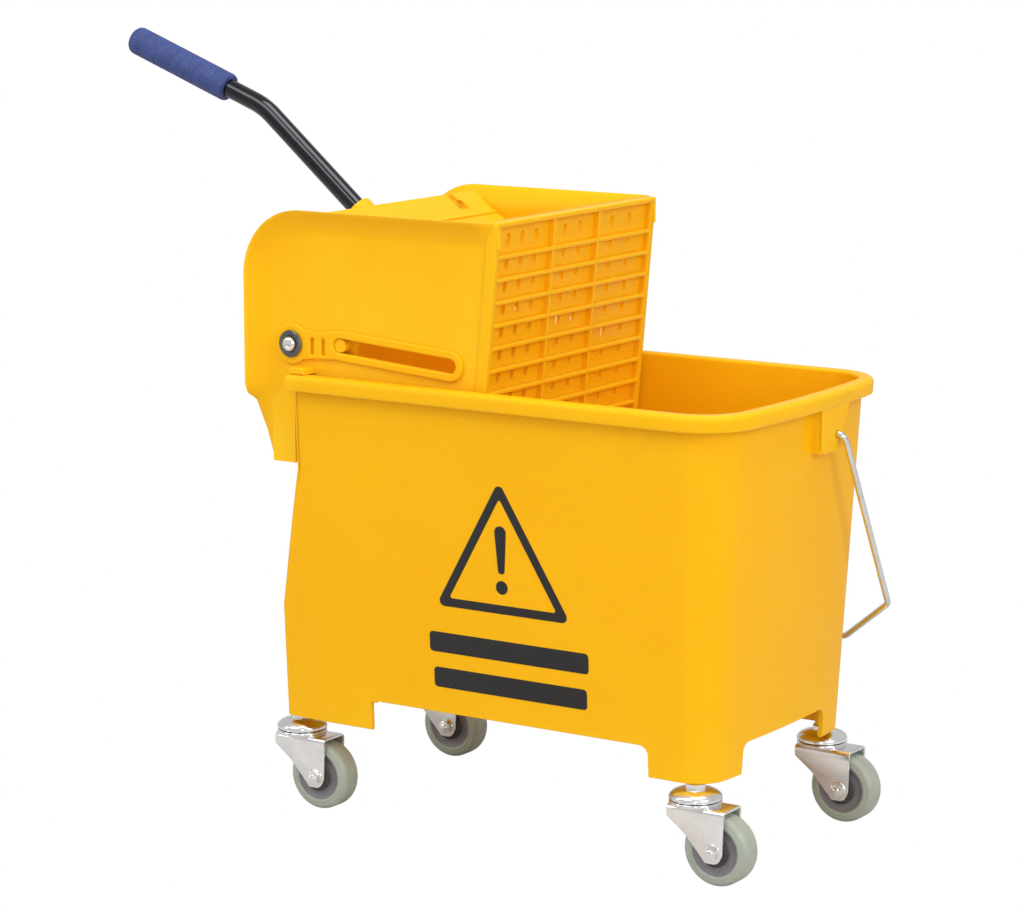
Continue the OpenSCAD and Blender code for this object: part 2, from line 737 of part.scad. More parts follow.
module tyre() {
    r = wheel_d / 2;
    half = wheel_w / 2;
    round = 4;
    color("#96a091") at_axle() rotate_extrude()
        polygon(concat([[hub_r, -half + 0.6], [hub_r + 2, -half]],
                       arc([r - round, -half + round], round, -90, 0, 8),
                       arc([r - round, half - round], round, 0, 90, 8),
                       [[hub_r + 2, half], [hub_r, half - 0.6]]));
}

bucket();
wringer_housing();
press_plate();
yoke_head();
yoke_arm(1);  // yoke_arm_left
yoke_arm(-1);  // yoke_arm_right
drive_rod();
rod_end_clips();
handle_tube();
tube_plug();
handle_grip();
tube_screws();
pivot_bolts();
pivot_washers();
pivot_nuts();
bail_wire();
for (c = CASTERS) {
    at_caster(c) caster_stem();
    at_caster(c) top_race();
    at_caster(c) ball_ring();
    at_caster(c) fork();
    at_caster(c) axle_bolt();
    at_caster(c) axle_nut();
    at_caster(c) axle_sleeve();
    at_caster(c) wheel_hub();
    at_caster(c) tyre();
}
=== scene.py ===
"""Looks for the wheeled mop bucket with its side-press wringer.

Lengths in the helpers and outlines are in millimetres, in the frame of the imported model; MM turns
them into metres when a mesh is made.
"""

import json
import math

import bmesh
import bpy
from mathutils import Matrix, Vector, geometry

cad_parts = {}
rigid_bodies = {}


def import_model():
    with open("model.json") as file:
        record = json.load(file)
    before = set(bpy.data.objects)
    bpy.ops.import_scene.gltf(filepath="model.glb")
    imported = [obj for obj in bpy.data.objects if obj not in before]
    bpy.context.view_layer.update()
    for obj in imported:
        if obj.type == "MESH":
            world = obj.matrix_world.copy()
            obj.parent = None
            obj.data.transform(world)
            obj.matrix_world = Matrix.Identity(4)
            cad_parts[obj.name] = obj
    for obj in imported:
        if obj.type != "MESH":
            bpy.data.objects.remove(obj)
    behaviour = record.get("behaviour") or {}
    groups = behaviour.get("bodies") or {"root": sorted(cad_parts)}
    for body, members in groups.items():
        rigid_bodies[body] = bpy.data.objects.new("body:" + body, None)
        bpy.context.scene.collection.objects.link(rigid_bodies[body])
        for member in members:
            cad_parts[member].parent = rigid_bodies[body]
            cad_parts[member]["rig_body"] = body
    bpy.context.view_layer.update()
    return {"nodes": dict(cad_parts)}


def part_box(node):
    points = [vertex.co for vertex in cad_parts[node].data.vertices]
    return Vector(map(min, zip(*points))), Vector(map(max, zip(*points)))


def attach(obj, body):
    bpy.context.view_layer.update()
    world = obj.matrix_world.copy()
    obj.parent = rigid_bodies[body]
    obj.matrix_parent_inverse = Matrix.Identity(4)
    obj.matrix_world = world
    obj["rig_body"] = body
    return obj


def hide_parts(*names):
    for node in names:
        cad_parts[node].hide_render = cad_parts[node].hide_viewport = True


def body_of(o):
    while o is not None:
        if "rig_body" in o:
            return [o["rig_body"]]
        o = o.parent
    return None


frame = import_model()

MM = 0.001
ROOT, WRINGER, LEVER, PRESS, BAIL = "bucket_body", "wringer", "lever", "press", "bail"
CASTERS = ("fl", "fr", "rl", "rr")


def add_object(name, data):
    """New object in the scene."""
    made = bpy.data.objects.new(name, data)
    bpy.context.scene.collection.objects.link(made)
    return made


def mesh_of(bm, name):
    """Mesh from a bmesh, which is freed."""
    mesh = bpy.data.meshes.new(name)
    bm.to_mesh(mesh)
    bm.free()
    return mesh


def box_mm(node):
    """Lowest and highest corner of a CAD node, in millimetres."""
    low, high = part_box(node)
    return low / MM, high / MM


# ---------------------------------------------------------------- materials


def new_material(name):
    """A node material, with its tree and its Principled shader."""
    material = bpy.data.materials.new(name)
    material.use_nodes = True
    tree = material.node_tree
    return material, tree, tree.nodes["Principled BSDF"]


def set_inputs(node, values):
    """Sets constants straight on a node's sockets."""
    for socket, value in values.items():
        node.inputs[socket].default_value = value


def noise(tree, scale, detail=3.0, roughness=0.5, distortion=0.0):
    """Noise in object coordinates, so that it stays on the piece."""
    where = tree.nodes.new("ShaderNodeTexCoord")
    node = tree.nodes.new("ShaderNodeTexNoise")
    values = {"Scale": scale, "Detail": detail, "Roughness": roughness, "Distortion": distortion}
    set_inputs(node, values)
    tree.links.new(where.outputs["Object"], node.inputs["Vector"])
    return node.outputs["Fac"]


def spread(tree, value, low, high, start=0.3, end=0.7):
    """Maps value from start..end to low..high."""
    node = tree.nodes.new("ShaderNodeMapRange")
    set_inputs(node, {"From Min": start, "From Max": end, "To Min": low, "To Max": high})
    tree.links.new(value, node.inputs["Value"])
    return node.outputs["Result"]


def mix_colour(tree, factor, first, second):
    """Mixes two colours, each a tuple or an output, by the output factor."""
    node = tree.nodes.new("ShaderNodeMix")
    node.data_type = "RGBA"
    for socket, value in ((node.inputs["A"], first), (node.inputs["B"], second)):
        if isinstance(value, tuple):
            socket.default_value = (*value, 1.0)
        else:
            tree.links.new(value, socket)
    tree.links.new(factor, node.inputs["Factor"])
    return node.outputs["Result"]


def bump(tree, shader, height, strength, distance):
    node = tree.nodes.new("ShaderNodeBump")
    set_inputs(node, {"Strength": strength, "Distance": distance})
    tree.links.new(height, node.inputs["Height"])
    tree.links.new(node.outputs["Normal"], shader.inputs["Normal"])


def coat(tree, shader, colour, roughness):
    """Drives the shader's colour and roughness from two outputs."""
    tree.links.new(colour, shader.inputs["Base Color"])
    tree.links.new(roughness, shader.inputs["Roughness"])


def painted_edge_highlight(tree, reach):
    """Painted highlight mask: 0 on flat faces, rising to 1 on convex edges, from the geometry's
    pointiness.
    """
    node = tree.nodes.new("ShaderNodeNewGeometry")
    return spread(tree, node.outputs["Pointiness"], 0.0, 1.0, 0.5, 0.5 + reach)


def yellow_plastic():
    """Injection-moulded polypropylene: slow colour drift, convex edges made paler as a painted highlight,
    and a fine skin.
    """
    material, tree, shader = new_material("yellow_plastic")
    drift = spread(tree, noise(tree, 7.0, 2.0), 0.0, 1.0)
    base = mix_colour(tree, drift, (0.960, 0.470, 0.0030), (0.978, 0.505, 0.0045))
    flecks = spread(tree, noise(tree, 160.0, 5.0, 0.6), 0.0, 0.5, 0.55, 0.8)
    flecked = mix_colour(tree, flecks, base, (0.93, 0.425, 0.0035))
    # Convex edges are mixed towards a paler yellow: a painted highlight.
    colour = mix_colour(tree, painted_edge_highlight(tree, 0.12), flecked, (1.0, 0.57, 0.014))
    coat(tree, shader, colour, spread(tree, noise(tree, 22.0, 4.0), 0.30, 0.40))
    set_inputs(shader, {"Subsurface Weight": 0.12, "Subsurface Radius": (1.0, 0.55, 0.08)})
    set_inputs(shader, {"Subsurface Scale": 0.004, "Specular IOR Level": 0.12})
    bump(tree, shader, noise(tree, 900.0, 2.0), 0.10, 0.0002)
    return material


def metal(name, colour, dark, rough_low, rough_high, grain, bump_strength):
    """Plated metal with cloudy tone, fine grain and scuffed roughness."""
    material, tree, shader = new_material(name)
    cloud = spread(tree, noise(tree, 60.0, 4.0, 0.6, 0.4), 0.0, 1.0)
    roughness = spread(tree, noise(tree, grain, 4.0, 0.65), rough_low, rough_high)
    coat(tree, shader, mix_colour(tree, cloud, colour, dark), roughness)
    shader.inputs["Metallic"].default_value = 1.0
    bump(tree, shader, noise(tree, grain * 2, 3.0), bump_strength, 0.0001)
    return material


def zinc_plate():
    return metal(
        "zinc_plate", (0.93, 0.93, 0.92), (0.80, 0.80, 0.80), 0.14, 0.26, 240.0, 0.03
    )


def bright_wire():
    return metal(
        "bright_wire", (0.86, 0.85, 0.83), (0.70, 0.69, 0.67), 0.07, 0.16, 300.0, 0.05
    )


def dark_chrome():
    """Near-black plating: a dark coat over steel that mirrors the lights as long streaks."""
    material, tree, shader = new_material("dark_chrome")
    cloud = spread(tree, noise(tree, 40.0, 3.0), 0.0, 1.0)
    colour = mix_colour(tree, cloud, (0.016, 0.017, 0.020), (0.028, 0.030, 0.034))
    coat(tree, shader, colour, spread(tree, noise(tree, 120.0, 3.0), 0.08, 0.13))
    set_inputs(shader, {"Metallic": 1.0, "Coat Weight": 0.6, "Coat Roughness": 0.04})
    bump(tree, shader, noise(tree, 300.0, 2.0), 0.01, 0.0001)
    return material


def dull(name, colour, other, roughness, scale, bump_strength):
    """Matt plastic or rubber with mottled tone and a fine rough skin."""
    material, tree, shader = new_material(name)
    mottled = spread(tree, noise(tree, scale, 5.0, 0.6), 0.0, 1.0)
    skin = spread(tree, noise(tree, scale * 3, 4.0), roughness - 0.08, roughness + 0.08)
    coat(tree, shader, mix_colour(tree, mottled, colour, other), skin)
    bump(tree, shader, noise(tree, scale * 8, 3.0), bump_strength, 0.0003)
    return material


def blue_grip():
    """Blue vinyl grip: small raised pebbles, paler on their tops."""
    material, tree, shader = new_material("blue_grip")
    where = tree.nodes.new("ShaderNodeTexCoord")
    cells = tree.nodes.new("ShaderNodeTexVoronoi")
    cells.inputs["Scale"].default_value = 430.0
    tree.links.new(where.outputs["Object"], cells.inputs["Vector"])
    pebbles = spread(tree, cells.outputs["Distance"], 1.0, 0.0, 0.1, 0.6)
    mottled = spread(tree, noise(tree, 90.0, 4.0), 0.0, 1.0)
    base = mix_colour(tree, mottled, (0.028, 0.050, 0.185), (0.045, 0.072, 0.250))
    tree.links.new(
        mix_colour(
            tree, spread(tree, pebbles, 0.0, 0.6, 0.55, 1.0), base, (0.080, 0.115, 0.340)
        ),
        shader.inputs["Base Color"],
    )
    shader.inputs["Roughness"].default_value = 0.62
    bump(tree, shader, pebbles, 0.55, 0.0006)
    return material


YELLOW = yellow_plastic()
ZINC = zinc_plate()
WIRE = bright_wire()
CHROME = dark_chrome()
GRIP = blue_grip()
TYRE = dull("grey_rubber", (0.350, 0.385, 0.315), (0.400, 0.435, 0.360), 0.34, 70.0, 0.10)
HUB = dull("hub_plastic", (0.185, 0.172, 0.180), (0.225, 0.210, 0.220), 0.42, 60.0, 0.10)
DUST = dull("dust_ring", (0.030, 0.029, 0.028), (0.050, 0.048, 0.046), 0.55, 90.0, 0.15)
WASHER = metal(
    "dark_washer", (0.190, 0.195, 0.205), (0.110, 0.112, 0.120), 0.22, 0.36, 300.0, 0.08
)
PRINT = dull("black_print", (0.007, 0.006, 0.006), (0.010, 0.009, 0.009), 0.60, 120.0, 0.05)
SLOT_MATERIAL = {"yellow_plastic": YELLOW, "zinc_steel": ZINC}


# ---------------------------------------------------------------- mesh helpers


def piece(name, mesh, material, body, replaces=(), sharp=38.0):
    """Adds a mesh that rides on a body, smooth except at edges steeper than sharp degrees."""
    mesh.shade_smooth()
    mesh.set_sharp_from_angle(angle=math.radians(sharp))
    mesh.materials.clear()
    mesh.materials.append(material)
    made = add_object(name, mesh)
    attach(made, body)
    if replaces:
        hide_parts(*replaces)
    return made


def weighted(made):
    """Lets the large faces set the shading, so that flat walls with rounded edges stay flat."""
    modifier = made.modifiers.new("weighted", "WEIGHTED_NORMAL")
    modifier.keep_sharp = True
    modifier.weight = 60


def mesh_from(verts, faces):
    """Mesh from millimetre points, with doubles merged and normals facing outwards."""
    mesh = bpy.data.meshes.new("mesh")
    mesh.from_pydata([tuple(c * MM for c in v) for v in verts], [], faces)
    bm = bmesh.new()
    bm.from_mesh(mesh)
    bmesh.ops.remove_doubles(bm, verts=bm.verts, dist=0.02 * MM)
    bmesh.ops.dissolve_degenerate(bm, dist=0.005 * MM, edges=bm.edges)
    bmesh.ops.recalc_face_normals(bm, faces=bm.faces)
    bm.to_mesh(mesh)
    bm.free()
    return mesh


def merged(*meshes):
    """One mesh of several closed ones."""
    bm = bmesh.new()
    for mesh in meshes:
        bm.from_mesh(mesh)
    return mesh_of(bm, "merged")


def moved(mesh, matrix):
    mesh.transform(matrix)
    if matrix.determinant() < 0:
        mesh.flip_normals()
    return mesh


def arc(cx, cy, radius, start, end, steps):
    """Points round an arc, with angles in degrees."""
    points = []
    for i in range(steps + 1):
        angle = math.radians(start + (end - start) * i / steps)
        points.append((cx + radius * math.cos(angle), cy + radius * math.sin(angle)))
    return points


def fillet(here, before, after, radius):
    """Centre of a corner's fillet, with its two ends seen from that centre."""
    before = (before - here).normalized()
    after = (after - here).normalized()
    half = before.angle(after) / 2
    reach = radius / math.tan(half)
    centre = here + (before + after).normalized() * (radius / math.sin(half))
    return centre, here + before * reach - centre, here + after * reach - centre


def rounded_outline(corners, steps=5):
    """Closed outline through corners (x, y, radius), each rounded by its radius."""
    points = []
    count = len(corners)
    for i, (x, y, radius) in enumerate(corners):
        if radius <= 0:
            points.append((x, y))
            continue
        before, after = Vector(corners[i - 1][:2]), Vector(corners[(i + 1) % count][:2])
        centre, start, end = fillet(Vector((x, y)), before, after, radius)
        turn = start.angle_signed(end)
        for k in range(steps + 1):
            step = Matrix.Rotation(-turn * k / steps, 2)
            points.append(tuple(centre + step @ start))
    return points


def plate(outlines, low, high, bevel, axis="Y", steps=2):
    """Plate with rounded edges from an outline and its holes.

    The outlines are drawn in XZ for axis Y, in YZ for axis X and in XY for axis Z, and the plate
    fills from low to high along the axis.
    """
    curve = bpy.data.curves.new("plate", "CURVE")
    curve.dimensions = "2D"
    curve.fill_mode = "BOTH"
    for outline in outlines:
        spline = curve.splines.new("POLY")
        spline.points.add(len(outline) - 1)
        for point, (a, b) in zip(spline.points, outline):
            point.co = (a * MM, b * MM, 0, 1)
        spline.use_cyclic_u = True
    curve.extrude = ((high - low) / 2 - bevel) * MM
    curve.bevel_depth = bevel * MM
    curve.bevel_resolution = steps
    curve.offset = -bevel * MM
    holder = add_object("plate", curve)
    graph = bpy.context.evaluated_depsgraph_get()
    mesh = bpy.data.meshes.new_from_object(holder.evaluated_get(graph))
    bpy.data.objects.remove(holder)
    bpy.data.curves.remove(curve)
    bm = bmesh.new()
    bm.from_mesh(mesh)
    bmesh.ops.remove_doubles(bm, verts=bm.verts, dist=0.01 * MM)
    bmesh.ops.recalc_face_normals(bm, faces=bm.faces)
    bm.to_mesh(mesh)
    bm.free()
    middle = (low + high) / 2 * MM
    columns = {
        "Y": ((1, 0, 0, 0), (0, 0, -1, middle), (0, 1, 0, 0), (0, 0, 0, 1)),
        "X": ((0, 0, 1, middle), (1, 0, 0, 0), (0, 1, 0, 0), (0, 0, 0, 1)),
        "Z": ((1, 0, 0, 0), (0, 1, 0, 0), (0, 0, 1, middle), (0, 0, 0, 1)),
    }[axis]
    return moved(mesh, Matrix(columns))


def block(low, high, bevel, steps=2):
    """Box from corner to corner with rounded edges."""
    bm = bmesh.new()
    bmesh.ops.create_cube(bm, size=1.0)
    size = Vector(high) - Vector(low)
    centre = (Vector(high) + Vector(low)) / 2
    for vertex in bm.verts:
        vertex.co = Vector(a * b for a, b in zip(vertex.co, size)) + centre
    bmesh.ops.bevel(
        bm,
        geom=bm.edges[:],
        offset=bevel,
        segments=steps,
        profile=0.5,
        affect="EDGES",
        clamp_overlap=True,
    )
    bmesh.ops.scale(bm, vec=(MM, MM, MM), verts=bm.verts)
    return mesh_of(bm, "block")


def frame_along(direction):
    """Rotation that takes +Z to direction."""
    return Vector(direction).to_track_quat("Z", "X").to_matrix().to_4x4()


def ring_faces(rings, count, closed=False):
    """Quads between neighbouring rings of count points, and from last to first if closed."""
    faces = []
    for i in range(rings if closed else rings - 1):
        j = (i + 1) % rings
        for k in range(count):
            n = (k + 1) % count
            faces.append((i * count + k, i * count + n, j * count + n, j * count + k))
    return faces


def end_faces(rings, count):
    """The first ring and the last, each as one face."""
    return [tuple(range(count)), tuple((rings - 1) * count + k for k in range(count))]


def lathe(profile, origin, direction, segments=72):
    """Solid of revolution from (along, radius) points: a loop unless both ends are on the axis."""
    verts = []
    for along, radius in profile:
        for k in range(segments):
            angle = 2 * math.pi * k / segments
            verts.append((radius * math.cos(angle), radius * math.sin(angle), along))
    closed = profile[0][1] > 0 or profile[-1][1] > 0
    mesh = mesh_from(verts, ring_faces(len(profile), segments, closed))
    place = Matrix.Translation(Vector(origin) * MM) @ frame_along(direction)
    return moved(mesh, place)


def hexagon(across, origin, direction, height, bore=0.0, chamfer=0.6):
    """Hexagonal nut or bolt head with chamfered corners."""
    radius = across / math.sqrt(3)
    levels = [
        (0, radius - chamfer), (chamfer * 0.5, radius),
        (height - chamfer * 0.5, radius), (height, radius - chamfer),
    ]
    if bore > 0:
        levels += [(height, bore), (0, bore)]
    else:
        levels = [(0, 0)] + levels + [(height, 0)]
    return lathe(levels, origin, direction, 6)


def tube_along(points, radius, sides=32):
    """Round rod along a smooth path of millimetre points."""
    verts = []
    path = [Vector(p) for p in points]
    tangents = []
    for i in range(len(path)):
        before = path[max(i - 1, 0)]
        after = path[min(i + 1, len(path) - 1)]
        tangents.append((after - before).normalized())
    normal = tangents[0].orthogonal().normalized()
    for i, here in enumerate(path):
        if i:
            normal = tangents[i - 1].rotation_difference(tangents[i]) @ normal
        side = tangents[i].cross(normal)
        for k in range(sides):
            angle = 2 * math.pi * k / sides
            verts.append(here + radius * (math.cos(angle) * normal + math.sin(angle) * side))
    return mesh_from(verts, ring_faces(len(path), sides) + end_faces(len(path), sides))


def rounded_path(corners, radius, steps=10):
    """Path through corners with every inner corner rounded by radius."""
    path = [Vector(corners[0])]
    for i in range(1, len(corners) - 1):
        before, here, after = (Vector(corner) for corner in corners[i - 1 : i + 2])
        centre, start, end = fillet(here, before, after, radius)
        turn = start.rotation_difference(end)
        for k in range(steps + 1):
            part = turn.copy()
            part.angle = turn.angle * k / steps
            path.append(centre + part @ start)
    path.append(Vector(corners[-1]))
    return path


def softened(node, width, slot, segments=2):
    """A CAD node's shape with its edges rounded, standing for that node."""
    source = frame["nodes"][node].data.copy()
    bm = bmesh.new()
    bm.from_mesh(source)
    bmesh.ops.remove_doubles(bm, verts=bm.verts, dist=0.002 * MM)
    bmesh.ops.dissolve_limit(
        bm, angle_limit=math.radians(0.6), verts=bm.verts, edges=bm.edges
    )
    bm.to_mesh(source)
    bm.free()
    body = body_of(frame["nodes"][node])[0]
    made = piece(node + "_soft", source, SLOT_MATERIAL[slot], body, (node,), 40.0)
    edge = made.modifiers.new("edges", "BEVEL")
    edge.width = width * MM
    edge.segments = segments
    edge.limit_method = "ANGLE"
    edge.angle_limit = math.radians(30.0)
    edge.use_clamp_overlap = True
    edge.miter_outer = "MITER_ARC"
    weighted(made)


# ---------------------------------------------------------------- bucket

RIM_Z = box_mm("bucket")[1].z
RIM_HALF_W = box_mm("bucket")[1].y
FOOT_Z = box_mm("bucket")[0].z
RIM_FRONT_X = box_mm("bucket")[1].x
LIP_OUT = 8.0
DRAFT = 0.057
WALL = 3.5
FLOOR_Z = 104.0
FLOOR_LOW_Z = 97.5
SKIRT_Z = 92.5
REAR_TOP_X, REAR_LOW_X = -158.0, -178.0
REAR_STEP_Z, REAR_BULGE_Z = 262.0, 156.0
BOW_R = 900.0
CORNER_TOP_R, CORNER_LOW_R = 36.0, 24.0
REAR_CORNER_R = 5.0
FOOT_FRONT_X, FOOT_REAR_X, FOOT_IN_Y = 139.0, -98.0, 60.0
CREASE_X = -140.0
REAR_TURN_IN = 1.6
BOSS_R, STEM_R = 5.5, 4.2


def smooth_step(value):
    value = min(max(value, 0.0), 1.0)
    return value * value * (3 - 2 * value)


def half_w(z):
    return RIM_HALF_W - LIP_OUT - (RIM_Z - z) * DRAFT


def front_x(z):
    return RIM_FRONT_X - LIP_OUT - (RIM_Z - z) * DRAFT


def rear_x(z):
    if z >= REAR_STEP_Z:
        return REAR_TOP_X
    if z <= REAR_BULGE_Z:
        return REAR_LOW_X
    share = (z - REAR_BULGE_Z) / (REAR_STEP_Z - REAR_BULGE_Z)
    return REAR_LOW_X + (REAR_TOP_X - REAR_LOW_X) * share


def corner_r(z):
    return CORNER_LOW_R + (CORNER_TOP_R - CORNER_LOW_R) * (z - FOOT_Z) / (RIM_Z - FOOT_Z)


def rear_turn(x, z):
    """How far the side wall's lower rear end turns inwards, behind its soft crease."""
    fade = 1 - smooth_step((z - 150) / 90)
    return REAR_TURN_IN * fade * smooth_step((CREASE_X - x) / 34)


def plan_column(kind, value, side, z, grow, rear_grow):
    """Point of the bucket's plan at height z. grow moves it outwards, rear_grow at the rear wall."""
    radius = corner_r(z) + grow
    bow_centre = front_x(z) - BOW_R
    bow = BOW_R + grow
    across = half_w(z) + grow - radius
    corner_x = bow_centre + math.sqrt((bow - radius) ** 2 - across**2)
    meet = math.atan2(across, corner_x - bow_centre)
    rear = rear_x(z) - rear_grow
    if kind == "side":
        x = value
        # The rearmost column moves with the rear wall.
        if value < CREASE_X - 20:
            x = rear + (REAR_CORNER_R + rear_grow) - grow * REAR_CORNER_R / LIP_OUT * (grow > 0)
        return x, side * (half_w(z) + grow - rear_turn(x, z))
    if kind == "corner":
        angle = math.pi / 2 - (math.pi / 2 - meet) * value
        return corner_x + radius * math.cos(angle), side * (across + radius * math.sin(angle))
    if kind == "bow":
        angle = math.asin(side * value / bow)
        return bow_centre + bow * math.cos(angle), bow * math.sin(angle)
    if kind == "rear_corner":
        small = REAR_CORNER_R + rear_grow
        angle = math.radians(90 + 90 * value)
        wide = half_w(z) + rear_grow - small - rear_turn(rear + small, z)
        return rear + small + small * math.cos(angle), side * (wide + small * math.sin(angle))
    return rear, side * value


FILLET_R = 8.0
FILLET_STEPS = 6


def foot_low(distance):
    """Lower edge of the skirt at a distance outside a foot's edge, with a fillet at the top."""
    if distance >= FILLET_R:
        return SKIRT_Z
    if distance <= 0:
        return FOOT_Z
    drop = FILLET_R - math.sqrt(FILLET_R**2 - (FILLET_R - distance) ** 2)
    return SKIRT_Z - drop


def bucket_columns():
    """Columns of one half as (kind, value, lower edge), from the middle of the rear to the front."""
    half = [("rear", y, FOOT_Z if y >= FOOT_IN_Y else SKIRT_Z) for y in (0, 20, 40, 59.9, 60.1, 75)]
    half += [("rear_corner", 1 - k / 6, FOOT_Z) for k in range(7)]
    rear_sides = (-169, -154, -147, CREASE_X, -132, -120, -108, FOOT_REAR_X)
    half += [("side", x, FOOT_Z) for x in rear_sides]
    half += [("side", -97.9, SKIRT_Z - 1.5), ("side", -94, SKIRT_Z - 1.5), ("side", -92.5, SKIRT_Z)]
    half += [("side", x, SKIRT_Z) for x in range(-80, 121, 20)]
    for k in range(FILLET_STEPS + 1):
        distance = FILLET_R * (1 - math.sin(math.pi / 2 * k / FILLET_STEPS))
        half.append(("side", FOOT_FRONT_X - distance - 0.1, foot_low(distance)))
    half += [("side", x, FOOT_Z) for x in (FOOT_FRONT_X, 148)]
    half += [("corner", k / 14, FOOT_Z) for k in range(15)]
    half += [("bow", 70.0, FOOT_Z), ("bow", FOOT_IN_Y, FOOT_Z)]
    for k in range(FILLET_STEPS + 1):
        distance = FILLET_R * (1 - math.cos(math.pi / 2 * k / FILLET_STEPS))
        half.append(("bow", FOOT_IN_Y - 0.1 - distance, foot_low(distance)))
    half += [("bow", y, SKIRT_Z) for y in (44.0, 36.0, 28.0, 20.0, 12.0, 4.0)]
    return half


def level(z, grow):
    """Row at one height all round."""
    return False, (z, grow), (z, grow)


def above_edge(lift, grow):
    """Row at a distance above each column's lower edge."""
    return True, (lift, grow), (lift, grow)


def bucket_rows():
    """Rows of the loft, from the underside outwards, up, over the lip and down the inside.

    A row is (from_edge, sides, rear): a height and an outward growth for the walls with a lip, and
    for the rear wall, which has none. With from_edge, heights start at the column's lower edge.
    """
    rows = [level(FLOOR_LOW_Z, -WALL), above_edge(2.0, -WALL), above_edge(0.4, -WALL + 0.3)]
    rows += [above_edge(0.0, -WALL + 1.0), above_edge(0.0, -1.0), above_edge(0.3, -0.3)]
    rows.append(above_edge(1.2, 0.0))
    heights = [108, 120, 138, 150, 156, 162, 175, 190, 205, 220, 235, 250, 258, 262, 268, 285, 305, 320]
    rows += [level(z, 0.0) for z in heights]
    lip = [
        (330.3, 0.0, 326.0, 0.0), (330.3, 5.3, 328.0, 0.0), (322.6, 5.3, 329.0, 0.0),
        (321.7, 5.7, 329.5, 0.0), (321.3, 6.5, 330.0, 0.0), (321.6, 7.4, 330.5, 0.0),
        (322.5, 7.9, 331.0, 0.0), (324.5, 8.0, 331.3, 0.0), (328.6, 8.0, 331.6, 0.0),
        (330.6, 7.7, 332.0, -0.1), (332.1, 6.8, 332.5, -0.25), (333.0, 5.4, 332.9, -0.6),
        (333.3, 3.6, 333.2, -1.1), (333.3, -1.2, 333.3, -1.6), (333.0, -2.4, 333.0, -2.6),
        (332.2, -3.2, 332.2, -3.2), (331.0, -3.5, 331.0, -3.5),
    ]
    rows += [(False, (z, grow), (rear_z, rear_grow)) for z, grow, rear_z, rear_grow in lip]
    rows += [level(z, -WALL) for z in reversed(heights[:-1])]
    rows += [level(108.0, -WALL - 0.3), level(105.6, -WALL - 1.8), level(104.3, -WALL - 4.2)]
    rows.append(level(FLOOR_Z, -WALL - 7.5))
    return rows


def bucket_shell():
    """Walls, rolled lip, floor and skirt, as one closed loft of rows round the bucket."""
    half = bucket_columns()
    far_half = [column for column in reversed(half) if column[:2] != ("rear", 0)]
    columns = [(kind, value, -1, low) for kind, value, low in half]
    columns += [(kind, value, 1, low) for kind, value, low in far_half]
    rows = bucket_rows()
    verts = []
    for from_edge, sides, rear in rows:
        for kind, value, side, low in columns:
            z, grow = rear if kind in ("rear", "rear_corner") else sides
            if from_edge:
                z += low
            x, y = plan_column(kind, value, side, min(z, RIM_Z), grow, min(grow, 0.0))
            verts.append((x, y, z))
    size = (len(rows), len(columns))
    return mesh_from(verts, ring_faces(*size) + end_faces(*size))


def stem_bosses():
    """Round bosses under the floor that take the caster stems."""
    made = []
    top = FLOOR_Z - 2
    for name in CASTERS:
        low, high = box_mm("caster_stem_" + name)
        centre = (low + high) / 2
        profile = [
            (0.6, STEM_R), (0, STEM_R + 0.4), (0, BOSS_R - 0.5), (0.6, BOSS_R),
            (top - FOOT_Z, BOSS_R), (top - FOOT_Z, STEM_R),
        ]
        made.append(lathe(profile, (centre.x, centre.y, FOOT_Z), (0, 0, 1), 48))
    return made


LUG_Y, LUG_Z = 31.0, 302.0
LUG_FACE_X = RIM_FRONT_X - 1.5


def lug_parts():
    """Hollow tab under the front lip and the block on the rear wall, both bored for the bail."""
    corners = [(9, 331, 0), (9, 289.5, 4), (36, 289.5, 7), (50, 323, 6), (56, 331, 0)]
    hole = arc(LUG_Y, LUG_Z, 2.5, 0, 360 - 360 / 24, 23)
    outline = rounded_outline(corners)
    tab = plate([outline, hole], LUG_FACE_X - 3.2, LUG_FACE_X, 0.9, "X", 3)
    back_x, tab_x = front_x(290) - 3, LUG_FACE_X - 1
    sides = []
    for y0, y1, low_z in ((9, 12, 289.8), (47, 50, 318)):
        sides.append(block((back_x, y0, low_z), (tab_x, y1, 331), 0.8))
    slant = [(33.0, 290.2), (36.4, 290.2), (50.0, 323.0), (46.6, 323.0)]
    sides.append(plate([slant], back_x, tab_x, 0.7, "X", 1))
    sides.append(block((back_x, 12, 289.8), (tab_x, 35, 292.6), 0.8))
    low, high = LUG_Y - 12, LUG_Y + 12
    rear_outline = rounded_outline([(low, 290, 6), (high, 290, 6), (high, 314, 3), (low, 314, 3)])
    rear = plate([rear_outline, hole], REAR_TOP_X - 12, REAR_TOP_X + 1, 1.0, "X", 2)
    return [tab, rear, *sides]


def make_bucket():
    whole = merged(bucket_shell(), *stem_bosses(), *lug_parts())
    weighted(piece("bucket_shell", whole, YELLOW, ROOT, ("bucket",), 32.0))


# ---------------------------------------------------------------- printed sign


def sign_mesh(outlines, thick=0.35):
    """Thin print that follows the near wall, from outlines in XZ."""
    flat = plate(outlines, -thick / 2, thick / 2, 0.08, "Y", 1)
    for vertex in flat.vertices:
        z = vertex.co.z / MM
        vertex.co.y += -(half_w(z) + thick / 2 - 0.12) * MM
    return flat


SIGN_X, SIGN_LOW_Z, SIGN_TOP_Z, SIGN_HALF_W = 21.0, 173.5, 271.0, 57.0


def scaled_triangle(inset, radius):
    """Upright triangle of the sign, inset by a border, with round corners."""
    height = SIGN_TOP_Z - SIGN_LOW_Z
    slope = math.hypot(height, SIGN_HALF_W) / SIGN_HALF_W
    top = SIGN_TOP_Z - inset * slope
    low = SIGN_LOW_Z + inset
    half = SIGN_HALF_W * (top - low) / height
    corners = [(SIGN_X - half, low, radius), (SIGN_X + half, low, radius), (SIGN_X, top, radius)]
    return rounded_outline(corners)


